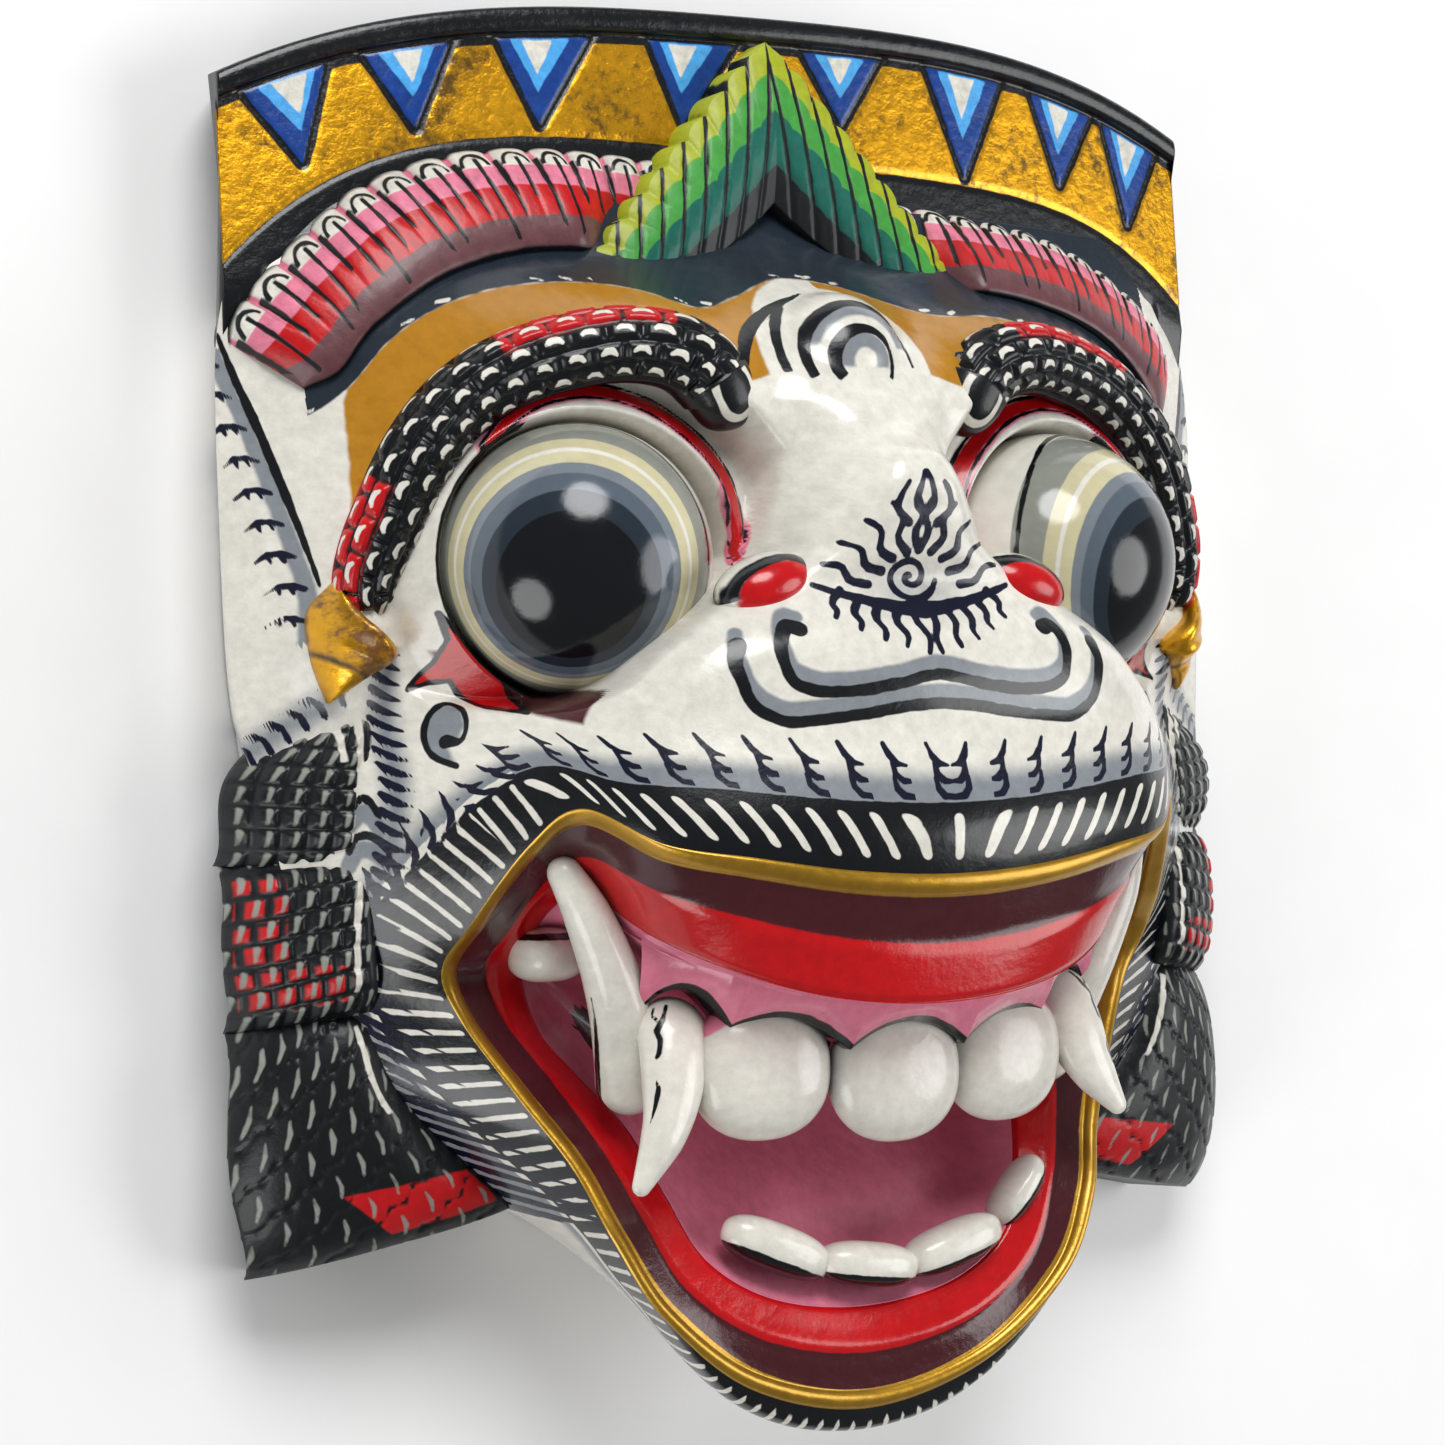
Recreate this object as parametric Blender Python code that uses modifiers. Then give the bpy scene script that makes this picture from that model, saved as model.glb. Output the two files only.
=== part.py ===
"""Carved wooden mask of Hanuman, the white monkey, lying on its back.

One block of wood: a face with bulging eyes, a blunt muzzle over a wide open mouth with
teeth, fangs and tusks, a headband with a leaf, ears at the sides and locks of hair below
them. The back is hollowed for the wearer's face and opens into the mouth.

Frame: +X to the viewer's right, +Y up the face to the crown, +Z out of the face. The back
rim lies on z = 0. Sizes are in millimetres and are turned to metres as meshes are made.
Heights on the face are measured from a line through the lower lids, MID_Y below the
middle of the mask's height, and the joined mask is moved down by that much.
"""
import math

import bmesh
import bpy
import numpy as np
from mathutils import Matrix

MM = 0.001

# Driving sizes of the whole mask
MID_Y = 1.52
HALF_WIDTH = 95.0
CROWN_CORNER_Y = 105.5
CROWN_RISE = 15.0
CROWN_MID_Z = 21.0
CROWN_SIDE_Z = 12.0
CROWN_TILT = 0.06
CROWN_RIM_WIDTH = 5.5
CROWN_RIM_RISE = 1.8
CROWN_LOW_Y = 66.0
CROWN_EAR_Y = 58.0
CROWN_EAR_WIDTH = 8.0
CROWN_FOOT_Y = 86.0
CROWN_FOOT_DROP = 14.0
RIM_EDGE_Z = 8.0
CHIN_DROP = 5.8
BACK_INSET = 5.5

# Hollow behind the face for the wearer, the shallow one behind the chin, and the slot
# between them and the mouth
HOLLOW_HALF_WIDTH = 66.0
HOLLOW_HALF_HEIGHT = 72.0
HOLLOW_DEPTH = 46.0
HOLLOW_MID_Y = 15.0
CHIN_HOLLOW_HALF_WIDTH = 56.0
CHIN_HOLLOW_HALF_HEIGHT = 34.0
CHIN_HOLLOW_DEPTH = 8.5
CHIN_HOLLOW_MID_Y = -48.0
BREATH_Y = -58.0
BREATH_HALF_WIDTH = 19.0
BREATH_HALF_HEIGHT = 4.0
BREATH_FLOOR_Z = 16.0

# Eyes, forehead knob and nose
EYE_RADIUS = 22.0
EYE_X = 45.0
EYE_Y = 26.0
EYE_Z = 41.5
EYE_SOCKET_GAP = 0.8
EYE_SOCKET_FLOOR_Z = 36.0
LID_RISE = 6.5
LID_WIDTH = 9.0
LID_SLANT = 0.25
SHOULDER_WIDTH = 3.0
BROW_RIDGE = 9.0
BROW_RIDGE_WIDTH = 11.0
KNOB_RADIUS = 12.0
KNOB_Y = 58.0
KNOB_Z = 46.5
KNOB_SWELL = 7.0
NOSTRIL_X = 25.5
NOSTRIL_Y = 20.5
NOSTRIL_Z = 64.5
NOSTRIL_HALF_WIDTH = 8.0
NOSTRIL_HALF_HEIGHT = 5.0
NOSTRIL_HALF_DEPTH = 6.0
NOSTRIL_TURN = 0.25

# Brows, gold cuffs at their ends, headband and leaf
BROW_RADIUS = 6.2
CUFF_RADIUS = 7.5
BAND_RADIUS = 8.5
BAND_TOP_Y = 85.0
BAND_DROP = 21.0
BAND_END_GAP = 11.0
BAND_SINK = 2.0
LEAF_THICKNESS = 7.0
LEAF_TIP_Y = 115.0
LEAF_ARM_X = 34.0
LEAF_ARM_Y = 76.0
LEAF_ARM_WIDTH = 22.0

# Teeth
INCISOR_HALF_WIDTH = 12.2
INCISOR_HALF_HEIGHT = 11.0
INCISOR_HALF_DEPTH = 8.0
INCISOR_PITCH = 23.0
INCISOR_Y = -58.5
INCISOR_Z = 57.5
INCISOR_TURN = 7.0
FANG_RADIUS = 6.5
TUSK_RADIUS = 5.6
LOWER_TOOTH_RADIUS = 6.5
MOLAR_HALF_SIZES = (6.0, 4.5, 7.0)

# Locks of hair below the ears
LOCK_EDGE_Z = 15.5
LOCK_CROWN = 4.5
LOCK_NOTCH = 4.5
LOCK_LEAN = 10.0

# Grain of the carved surface: the size of the joining grid, and the faces kept
CARVING_GRID = 1.3
FACES_KEPT = 8350

# The free forms below are drawn for a mask 190 wide, and grow with its half width
FORM = HALF_WIDTH / 95.0

# The sides lean in behind the front, so the back is this much narrower
BACK_SHARE = 1 - BACK_INSET / HALF_WIDTH

# Level sections of the face, from chin to crown: height y, z of the side edge, rise of the
# dome, rise of the muzzle, half width of the muzzle and how square its shoulders are
SECTIONS = np.array([
    (-120, 10, 12, 30, 55, 8),
    (-80, 12, 15, 28, 58, 8),
    (-68, 14, 18, 20, 60, 8),
    (-56, 15, 22, 14, 60, 8),
    (-44, 15, 25, 15, 60, 8),
    (-32, 15, 28, 32, 62, 8),
    (-20, 15, 30, 37, 64, 8),
    (-8, 15, 31, 34, 64, 8),
    (0, 15, 32, 31, 60, 9),
    (6, 15, 33, 30, 55, 9),
    (12, 15, 33, 28.5, 48, 9),
    (17, 15, 33, 25, 40, 9),
    (21, 14.5, 33, 24, 31, 8),
    (26, 14, 33, 26, 21, 6),
    (32, 14, 33, 28, 16, 5),
    (38, 14, 33, 28.5, 12.5, 4),
    (41, 14, 33, 26, 11.5, 3.5),
    (45, 14, 32.5, 17, 13, 3),
    (52, 14, 32, 8, 19, 3),
    (66, 13, 30, 1, 30, 4),
    (80, 12, 18, 0, 30, 4),
    (88, 12, 13, 0, 30, 4),
], float) * np.array((FORM, FORM, FORM, FORM, FORM, 1))

# The mouth and the outline, as rings of stations from the top middle (0) round the right
# side to the bottom middle (14); the left side mirrors them
LIP_EDGE = np.array([
    (0, -25, 81.7), (17, -24, 80.5), (33, -21.5, 77.5), (46, -19, 72), (55, -13.3, 62),
    (60.5, -19, 54), (65.5, -31, 43), (67.5, -38.5, 35.5), (64, -46.5, 34), (57, -58.5, 39),
    (50, -70.5, 45), (45.5, -82, 50), (38, -94.5, 52), (22, -107.5, 51), (0, -113, 50)], float) * FORM
LIP_INNER = np.array([
    (0, -36, 77.6), (17, -34.5, 77), (32, -31, 73.5), (44, -26.5, 66), (51, -21, 55),
    (54, -25, 46), (56, -33, 36), (57, -39.5, 30), (54, -48, 30), (48.5, -57.5, 35),
    (43.5, -68, 42), (39, -79, 47), (32.5, -91, 50), (19, -100, 51.5), (0, -103.5, 51.5)], float) * FORM
GUM_EDGE = np.array([
    (0, -45.5, 75.7), (17, -44, 74.5), (31, -40, 70), (42, -34, 61), (48, -27, 48),
    (49.5, -30, 38), (50, -35.5, 31), (50, -41, 28), (47, -50, 28), (42, -57, 31),
    (36.5, -66, 38), (33, -76, 43.5), (28, -86.5, 48), (16.5, -93.5, 49.5),
    (0, -96, 49.5)], float) * FORM
MOUTH_FLOOR = np.array([
    (0, -52, 64.5), (17, -50, 62.5), (31, -45, 58.5), (41, -39, 53), (44, -34, 42),
    (44, -36, 30), (43, -40, 22), (42, -44, 19.5), (39, -50, 19), (35, -56.5, 21),
    (31, -64, 26), (28, -72, 31), (23, -79, 35), (13, -84, 37), (0, -86, 37.5)], float) * FORM
OUTLINE = np.array([
    (0, 87), (34, 88), (66, 87), (86, 84), (94, 66), (95, 35), (94, 5), (88, -25),
    (85, -42), (79, -58), (62, -73), (47, -80), (36, -86), (20, -93), (0, -96)], float) * FORM
STATIONS = np.arange(len(OUTLINE), dtype=float)
LAST_STATION = STATIONS[-1]

# Middle line of a brow, from its inner hook over the eye to the gold cuff
BROW_LINE = np.array([
    (20, 45.5, 47), (20.5, 53, 49), (29, 59, 49.5), (42, 60, 46.5), (54, 57, 42.5),
    (63, 51.5, 39.5), (70, 43, 37.5), (74.5, 33, 35), (77.5, 24, 32)], float) * FORM
CUFF_LINE = np.array([(77, 25, 30), (79, 14, 29), (79.5, 4, 25)], float) * FORM

# Middle lines of a fang and of a tusk, from root to tip, with their girth as shares
FANG_LINE = np.array([
    (39, -42, 54), (42.5, -52, 58), (45, -62, 60), (46.8, -70, 60.5)], float) * FORM
FANG_GIRTH = (1.0, 0.95, 0.6, 0.2)
TUSK_LINE = np.array([
    (38, -62, 42), (41, -52, 47), (45, -41, 51), (50, -30, 52.5), (54.5, -21, 51)], float) * FORM
TUSK_GIRTH = (1.0, 0.95, 0.85, 0.68, 0.42)

# Shoulder of the muzzle and nose under the inner side of an eye: distance x from the middle
# and the height y where the shoulder drops to the socket
SHOULDER = np.array([
    (0, 70), (12, 52), (16, 38), (20, 26), (25, 22.5), (31, 18), (36, 14.5), (42, 10), (48, 4.5),
    (53, 2), (60, 1.5), (72, 4), (95, 6)], float) * FORM

# Middles and sizes of the lower teeth on one side, from the middle outwards
LOWER_TEETH = np.array([(0, -89, 49), (13, -87, 48), (23.5, -79.5, 44)], float) * FORM
LOWER_TOOTH_SHARES = (1.0, 1.0, 0.8)
MOLAR_AT = np.array((48, -37, 33), float) * FORM

# Outlines of the three locks on one side: inner edge and outer edge, top to bottom
LOCKS = np.array([
    (((79, 4), (79.5, -10), (80, -22)), ((93, 3), (96.5, -9), (96, -21.4))),
    (((80, -20), (79, -32), (76, -45)), ((95.5, -21.4), (97, -35), (95, -48.4))),
    (((77, -43), (70, -60), (50, -79)), ((95, -48.4), (96.5, -70), (92.6, -88.1))),
]) * FORM


def through(values, at):
    """Smooth curve through evenly keyed values, by cubic pieces with matched slopes."""
    values = np.asarray(values, float)
    keys = np.arange(len(values), dtype=float)
    return through_keys(values, keys, at)


def through_keys(values, keys, at):
    """Smooth curve through the rows of values at the given keys."""
    at = np.clip(np.asarray(at, float), keys[0], keys[-1])
    width = np.diff(keys)[:, None]
    slope = np.diff(values, axis=0) / width
    tangent = np.empty_like(values)
    tangent[0] = slope[0]
    tangent[-1] = slope[-1]
    before = width[:-1]
    after = width[1:]
    tangent[1:-1] = (slope[:-1] * after + slope[1:] * before) / (before + after)
    i = np.clip(np.searchsorted(keys, at, side="right") - 1, 0, len(keys) - 2)
    span = width[i]
    u = ((at - keys[i])[..., None]) / span
    start = values[i] * (2 * u**3 - 3 * u**2 + 1) + tangent[i] * span * (u**3 - 2 * u**2 + u)
    end = values[i + 1] * (3 * u**2 - 2 * u**3) + tangent[i + 1] * span * (u**3 - u**2)
    return start + end


def ease(low, high, x):
    """Zero below low, one above high, smooth between."""
    u = np.clip((x - low) / (high - low), 0, 1)
    return u * u * (3 - 2 * u)


def from_brow(across, y):
    """Distance in the plane of the face from the brow's middle line."""
    line = through(BROW_LINE, np.linspace(0, len(BROW_LINE) - 1, 33))
    shape = np.shape(across)
    nearest = np.full(shape, np.inf)
    for spot in line:
        nearest = np.minimum(nearest, np.hypot(across - spot[0], y - spot[1]))
    return nearest


def face_height(x, y):
    """Height of the carved face: a dome, the bell of the muzzle and nose, and the sockets."""
    side, dome, muzzle, half, square = np.moveaxis(
        through_keys(SECTIONS[:, 1:], SECTIONS[:, 0], y), -1, 0)
    across = np.abs(x)
    z = side + dome * (1 - (np.minimum(across, HALF_WIDTH) / HALF_WIDTH) ** 2)
    z = z + muzzle / (1 + (across / half) ** square)
    from_knob = np.hypot(across, y - KNOB_Y)
    z = z + KNOB_SWELL * np.exp(-((from_knob / (KNOB_RADIUS + 3)) ** 4))
    z = z + BROW_RIDGE * np.exp(-((from_brow(across, y) / BROW_RIDGE_WIDTH) ** 2))
    from_eye = np.hypot(across - EYE_X, y - EYE_Y)
    lid = EYE_Z + LID_RISE - 0.9 * (from_eye - EYE_RADIUS) - LID_SLANT * (across - EYE_X)
    near = ease(EYE_RADIUS + LID_WIDTH + 4, EYE_RADIUS + LID_WIDTH - 3, from_eye)
    shoulder = through_keys(SHOULDER[:, 1:], SHOULDER[:, 0], across)[..., 0]
    open_side = ease(0, SHOULDER_WIDTH, y - shoulder)
    z = z + near * open_side * (lid - z)
    hole = open_side * ease(EYE_RADIUS + EYE_SOCKET_GAP + 1.5, EYE_RADIUS - 1, from_eye)
    return z + hole * np.minimum(EYE_SOCKET_FLOOR_Z - z, 0)


def face_skin(t, s):
    """Point of the face at station t, a share s of the way from the lip to the outline."""
    lip = through(LIP_EDGE, t)
    out = through(OUTLINE, t)
    xy = lip[..., :2] + (out - lip[..., :2]) * s[..., None]
    lip_error = lip[..., 2] - face_height(lip[..., 0], lip[..., 1])
    away = np.linalg.norm(xy - lip[..., :2], axis=-1)
    upper = face_height(xy[..., 0], xy[..., 1]) + lip_error * np.exp(-away / 9)
    jaw = RIM_EDGE_Z + (lip[..., 2] - RIM_EDGE_Z) * (1 - s) ** 0.9
    low = ease(8.2, 10.6, t)
    swell = 3.0 * np.sin(np.pi * s) * ease(9.5, 11.5, t)
    swell = swell + CHIN_DROP * np.sin(np.pi * s**0.43) * ease(11.8, 13.6, t)
    out_way = lip[..., :2] - np.array((0, -70.0))
    out_way = out_way / np.linalg.norm(out_way, axis=-1, keepdims=True)
    xy = xy + out_way * swell[..., None]
    return np.concatenate([xy, (upper * (1 - low) + jaw * low)[..., None]], axis=-1)


def mouth_rings(t):
    """Rings of the mouth's lining, from the lip's edge down to the breathing slot."""
    lip = through(LIP_EDGE, t)
    inner = through(LIP_INNER, t)
    gum = through(GUM_EDGE, t)
    floor = through(MOUTH_FLOOR, t)
    under = ease(5, 3, t)[:, None]
    step = gum + (floor - gum) * 0.06 - under * np.array((0, 0, 4.5))
    turn = math.pi * t / LAST_STATION
    slot = np.stack([BREATH_HALF_WIDTH * np.sin(turn),
                     BREATH_Y + BREATH_HALF_HEIGHT * np.cos(turn),
                     np.full_like(t, BREATH_FLOOR_Z)], axis=-1)
    deep = floor + (slot - floor) * 0.55 - under * np.array((0, 0, 6.0))
    deep = deep - (1 - under) * np.array((0, 0, 3.0))
    roll = lip + (inner - lip) * 0.15 + np.array((0, 0, 1.0))
    return [roll, (lip + inner) / 2, inner, (inner + gum) / 2, gum, step, floor, deep, slot]


def mirrored_ring(half_ring):
    """Close a right-hand half ring with its mirror image."""
    left = half_ring[-2:0:-1] * np.array((-1, 1, 1))
    return np.concatenate([half_ring, left])


def loft(name, rings, bucket):
    """Skin closed rings of equal counts into one closed mesh, with both ends capped."""
    rings = np.asarray(rings, float) * MM
    count, around = rings.shape[:2]
    mesh = bpy.data.meshes.new(name)
    work = bmesh.new()
    verts = [[work.verts.new(point) for point in ring] for ring in rings]
    for j in range(count - 1):
        for i in range(around):
            k = (i + 1) % around
            work.faces.new((verts[j][i], verts[j][k], verts[j + 1][k], verts[j + 1][i]))
    work.faces.new(verts[0][::-1])
    work.faces.new(verts[-1])
    bmesh.ops.remove_doubles(work, verts=work.verts, dist=0.00002)
    bmesh.ops.recalc_face_normals(work, faces=work.faces)
    work.to_mesh(mesh)
    work.free()
    obj = bpy.data.objects.new(name, mesh)
    bucket.objects.link(obj)
    return obj


def move_to(obj, bucket):
    """Put an object in one collection only."""
    for old in list(obj.users_collection):
        old.objects.unlink(obj)
    bucket.objects.link(obj)


def ball(name, centre, half_sizes, bucket, turn=(0, 0, 0), segments=48):
    """A sphere primitive stretched to three half sizes, in millimetres."""
    bpy.ops.mesh.primitive_uv_sphere_add(segments=segments, ring_count=segments // 2, radius=MM)
    obj = bpy.context.active_object
    obj.name = name
    obj.scale = half_sizes
    obj.rotation_euler = turn
    obj.location = [value * MM for value in centre]
    move_to(obj, bucket)
    return obj


def horn(name, line, radius, girth, bucket):
    """A tapering curve, such as a tusk or a brow, turned into a closed mesh."""
    data = bpy.data.curves.new(name, "CURVE")
    data.dimensions = "3D"
    data.bevel_depth = radius * MM
    data.bevel_resolution = 5
    data.use_fill_caps = True
    steps = np.linspace(0, len(line) - 1, 4 * len(line))
    points = through(line, steps)
    girths = np.interp(steps, np.linspace(0, len(line) - 1, len(girth)), girth)
    spline = data.splines.new("POLY")
    spline.points.add(len(points) - 1)
    for spot, point, share in zip(spline.points, points, girths):
        spot.co = (*(point * MM), 1)
        spot.radius = share
    curve = bpy.data.objects.new(name + "_curve", data)
    bucket.objects.link(curve)
    bpy.context.view_layer.update()
    mesh = bpy.data.meshes.new_from_object(curve.evaluated_get(bpy.context.evaluated_depsgraph_get()))
    work = bmesh.new()
    work.from_mesh(mesh)
    bmesh.ops.remove_doubles(work, verts=work.verts, dist=0.00001)
    bmesh.ops.recalc_face_normals(work, faces=work.faces)
    work.to_mesh(mesh)
    work.free()
    obj = bpy.data.objects.new(name, mesh)
    obj.matrix_world = curve.matrix_world
    bpy.data.objects.remove(curve)
    bucket.objects.link(obj)
    return obj


def both_sides(points):
    """The right-hand points and their mirror image."""
    points = np.asarray(points, float)
    return (("right", points), ("left", points * np.array((-1, 1, 1))))


def crown_top(x):
    """Height y of the crown's top edge."""
    return CROWN_CORNER_Y + CROWN_RISE * (1 - (np.abs(x) / HALF_WIDTH) ** 3.2)


def crown_front(x, y):
    """Height z of the crown panel's front."""
    arch = (np.abs(x) / HALF_WIDTH) ** 2
    top = CROWN_CORNER_Y + CROWN_RISE
    return CROWN_MID_Z - (CROWN_MID_Z - CROWN_SIDE_Z) * arch + CROWN_TILT * (top - y)


def band_line(x):
    """Middle line of the fringed headband, arched over the forehead."""
    y = BAND_TOP_Y - BAND_DROP * (np.abs(x) / (HALF_WIDTH - BAND_END_GAP)) ** 4.5
    return np.stack([x, y, crown_front(x, y) - BAND_SINK], axis=-1)


def make_face(bucket):
    """The face, the lip and the mouth's lining, lofted ring by ring round the mouth."""
    t = np.linspace(0, LAST_STATION, 113)
    rings = []
    edge = through(OUTLINE, t) * np.array((BACK_SHARE, 1))
    rings.append(np.concatenate([edge, np.zeros((len(t), 1))], axis=-1))
    for s in np.linspace(1, 0, 60):
        rings.append(face_skin(t, np.full_like(t, s)))
    rings += mouth_rings(t)
    return loft("face", [mirrored_ring(ring) for ring in rings], bucket)


def make_crown(bucket):
    """The crown slab with its thick top rim, lofted from side to side."""
    rings = []
    for x in np.linspace(-HALF_WIDTH + 1.5, HALF_WIDTH - 1.5, 61):
        top = crown_top(x)
        groove = top - CROWN_RIM_WIDTH
        low = CROWN_EAR_Y if abs(x) > HALF_WIDTH - CROWN_EAR_WIDTH else CROWN_LOW_Y
        foot = CROWN_FOOT_Y - CROWN_FOOT_DROP * (abs(x) / HALF_WIDTH) ** 5
        front = crown_front(x, top)
        profile = [(low, 0), (low, crown_front(x, low) - 3), (foot, crown_front(x, foot)),
                   (groove, crown_front(x, groove)), (groove + 0.5, front + CROWN_RIM_RISE),
                   (top - 1.2, front + CROWN_RIM_RISE - 0.6), (top, front - 2), (top, 0)]
        rings.append([(x if z else x * BACK_SHARE, y, z) for y, z in profile])
    return loft("crown", rings, bucket)


def make_leaf(bucket):
    """The leaf over the forehead: two arms that meet in a point, each a tapering slab."""
    made = []
    for side in (-1, 1):
        rings = []
        for along in np.linspace(0, 1, 14):
            x = side * LEAF_ARM_X * along
            upper = LEAF_TIP_Y + (LEAF_ARM_Y - LEAF_TIP_Y) * along
            lower = upper - LEAF_ARM_WIDTH * (1.15 - 0.85 * along**2)
            base = crown_front(x, upper) - 3
            top = crown_front(x, (upper + lower) / 2) + LEAF_THICKNESS * (1 - 0.35 * along)
            rings.append([(x, lower, base), (x, lower + 1, top - 1), (x, lower + 4, top),
                          (x, upper - 3, top - 1.5), (x, upper, base + 3), (x, upper, base)])
        made.append(loft("leaf_arm", rings, bucket))
    return made


def make_locks(bucket):
    """The three locks of hair on each side, pillow shaped, flat behind."""
    made = []
    for inner, outer in LOCKS:
        inner = np.array(inner, float)
        outer = np.array(outer, float)
        for side in (-1, 1):
            rings = []
            for along in np.linspace(0, 2, 17):
                start = through(inner, along)
                stop = through(outer, along)
                end_drop = LOCK_NOTCH * (abs(along - 1) ** 5)
                ring = []
                for across in np.linspace(0, 1, 11):
                    x, y = start + (stop - start) * across
                    swell = LOCK_CROWN * (1 - abs(2 * across - 1) ** 3)
                    z = LOCK_EDGE_Z + LOCK_LEAN * (1 - across) + swell - end_drop
                    ring.append((side * x, y, z))
                ring.append((side * stop[0] * BACK_SHARE, stop[1], 0))
                ring.append((side * start[0] * BACK_SHARE, start[1], 0))
                rings.append(ring)
            made.append(loft("lock", rings, bucket))
    return made


def make_teeth(bucket):
    """Three incisors, two fangs, two tusks, two molars and a row of lower teeth."""
    for place in (-1, 0, 1):
        centre = (FORM * place * INCISOR_PITCH, FORM * (INCISOR_Y + 2.2 * abs(place)),
                  FORM * (INCISOR_Z - 3.2 * abs(place)))
        half = (FORM * INCISOR_HALF_WIDTH, FORM * INCISOR_HALF_HEIGHT, FORM * INCISOR_HALF_DEPTH)
        ball("incisor", centre, half, bucket, (0, math.radians(INCISOR_TURN * place), 0))
    for line, radius, girth in ((FANG_LINE, FANG_RADIUS * FORM, FANG_GIRTH),
                                (TUSK_LINE, TUSK_RADIUS * FORM, TUSK_GIRTH)):
        for _, points in both_sides(line):
            horn("horn", points, radius, girth, bucket)
    for (x, y, z), share in zip(LOWER_TEETH, LOWER_TOOTH_SHARES):
        size = share * FORM
        for side in (-1, 1):
            half = (LOWER_TOOTH_RADIUS * 1.1 * size, LOWER_TOOTH_RADIUS * 0.75 * size,
                    LOWER_TOOTH_RADIUS * size)
            ball("lower_tooth", (side * x, y, z), half, bucket, (0, 0, side * math.radians(1.6 * x)))
    for side in (-1, 1):
        ball("molar", MOLAR_AT * np.array((side, 1, 1)), np.array(MOLAR_HALF_SIZES) * FORM, bucket)


def make_forms(bucket):
    """Every form of the carving, before the forms are joined into one piece of wood."""
    make_face(bucket)
    make_crown(bucket)
    make_leaf(bucket)
    make_locks(bucket)
    make_teeth(bucket)
    for side in (-1, 1):
        ball("eyeball", (side * EYE_X, EYE_Y, EYE_Z), (EYE_RADIUS,) * 3, bucket)
        ball("nostril", (side * NOSTRIL_X, NOSTRIL_Y, NOSTRIL_Z),
             (NOSTRIL_HALF_WIDTH, NOSTRIL_HALF_HEIGHT, NOSTRIL_HALF_DEPTH), bucket,
             (0, 0, -side * NOSTRIL_TURN))
    ball("knob", (0, KNOB_Y, KNOB_Z), (KNOB_RADIUS,) * 3, bucket)
    for _, points in both_sides(BROW_LINE):
        horn("brow", points, BROW_RADIUS, (0.85, 1, 1, 1, 1, 0.9), bucket)
    for _, points in both_sides(CUFF_LINE):
        horn("cuff", points, CUFF_RADIUS, (0.9, 0.8, 0.3), bucket)
    reach = HALF_WIDTH - BAND_END_GAP
    horn("fringe", band_line(np.linspace(-reach, reach, 29)), BAND_RADIUS, (0.75, 1, 1, 1, 0.75), bucket)


def join_forms(bucket, name, home):
    """Join the forms into one object whose overlaps the remesh then fuses."""
    down = Matrix.Translation((0, -MID_Y * MM, 0))
    forms = [obj for obj in bucket.objects if obj.type == "MESH"]
    whole = bmesh.new()
    for obj in forms:
        piece = bmesh.new()
        piece.from_mesh(obj.data)
        bpy.context.view_layer.update()
        piece.transform(down @ obj.matrix_world)
        bmesh.ops.recalc_face_normals(piece, faces=piece.faces)
        copy = bpy.data.meshes.new("form")
        piece.to_mesh(copy)
        piece.free()
        whole.from_mesh(copy)
        bpy.data.meshes.remove(copy)
        bpy.data.objects.remove(obj)
    mesh = bpy.data.meshes.new(name)
    whole.to_mesh(mesh)
    whole.free()
    obj = bpy.data.objects.new(name, mesh)
    home.objects.link(obj)
    return obj


def evaluated_faces(obj):
    """Count the triangles that an object's modifiers leave."""
    bpy.context.view_layer.update()
    mesh = obj.evaluated_get(bpy.context.evaluated_depsgraph_get()).data
    return sum(len(face.vertices) - 2 for face in mesh.polygons)


def carve(obj, cutters):
    """Fuse the forms, thin the faces, saw the back flat and hollow it."""
    fuse = obj.modifiers.new("fuse forms", "REMESH")
    fuse.mode = "VOXEL"
    fuse.voxel_size = CARVING_GRID * MM
    thin = obj.modifiers.new("thin faces", "DECIMATE")
    thin.ratio = 1.0
    thin.ratio = FACES_KEPT / evaluated_faces(obj)

    bpy.ops.mesh.primitive_cube_add(size=1, location=(0, 0, -0.05))
    saw = bpy.context.active_object
    saw.name = "back_saw"
    saw.scale = (0.5, 0.5, 0.1)
    move_to(saw, cutters)
    upper = ball("face_hollow", (0, HOLLOW_MID_Y, 0),
                 (HOLLOW_HALF_WIDTH, HOLLOW_HALF_HEIGHT, HOLLOW_DEPTH), cutters, segments=40)
    lower = ball("chin_hollow", (0, CHIN_HOLLOW_MID_Y, 0),
                 (CHIN_HOLLOW_HALF_WIDTH, CHIN_HOLLOW_HALF_HEIGHT, CHIN_HOLLOW_DEPTH), cutters,
                 segments=32)
    depth = BREATH_FLOOR_Z + 4
    bpy.ops.mesh.primitive_cylinder_add(vertices=32, radius=MM, depth=depth * MM,
                                        location=(0, BREATH_Y * MM, depth / 2 * MM))
    slot = bpy.context.active_object
    slot.name = "breathing_slot"
    slot.scale = (BREATH_HALF_WIDTH - 1, BREATH_HALF_HEIGHT - 0.5, 1)
    move_to(slot, cutters)
    for cutter in (saw, upper, lower, slot):
        cutter.location.y -= MID_Y * MM
        cutter.hide_render = True
        cutter.display_type = "WIRE"
        cut = obj.modifiers.new("cut by " + cutter.name, "BOOLEAN")
        cut.operation = "DIFFERENCE"
        cut.object = cutter
        cut.solver = "EXACT"


def painted_wood():
    """Gloss white paint on carved wood, the colour that covers most of the face."""
    material = bpy.data.materials.new("gloss white paint on carved wood")
    material.use_nodes = True
    shader = material.node_tree.nodes["Principled BSDF"]
    shader.inputs["Base Color"].default_value = (0.72, 0.71, 0.66, 1)
    shader.inputs["Roughness"].default_value = 0.3
    shader.inputs["Metallic"].default_value = 0.0
    return material


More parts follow.
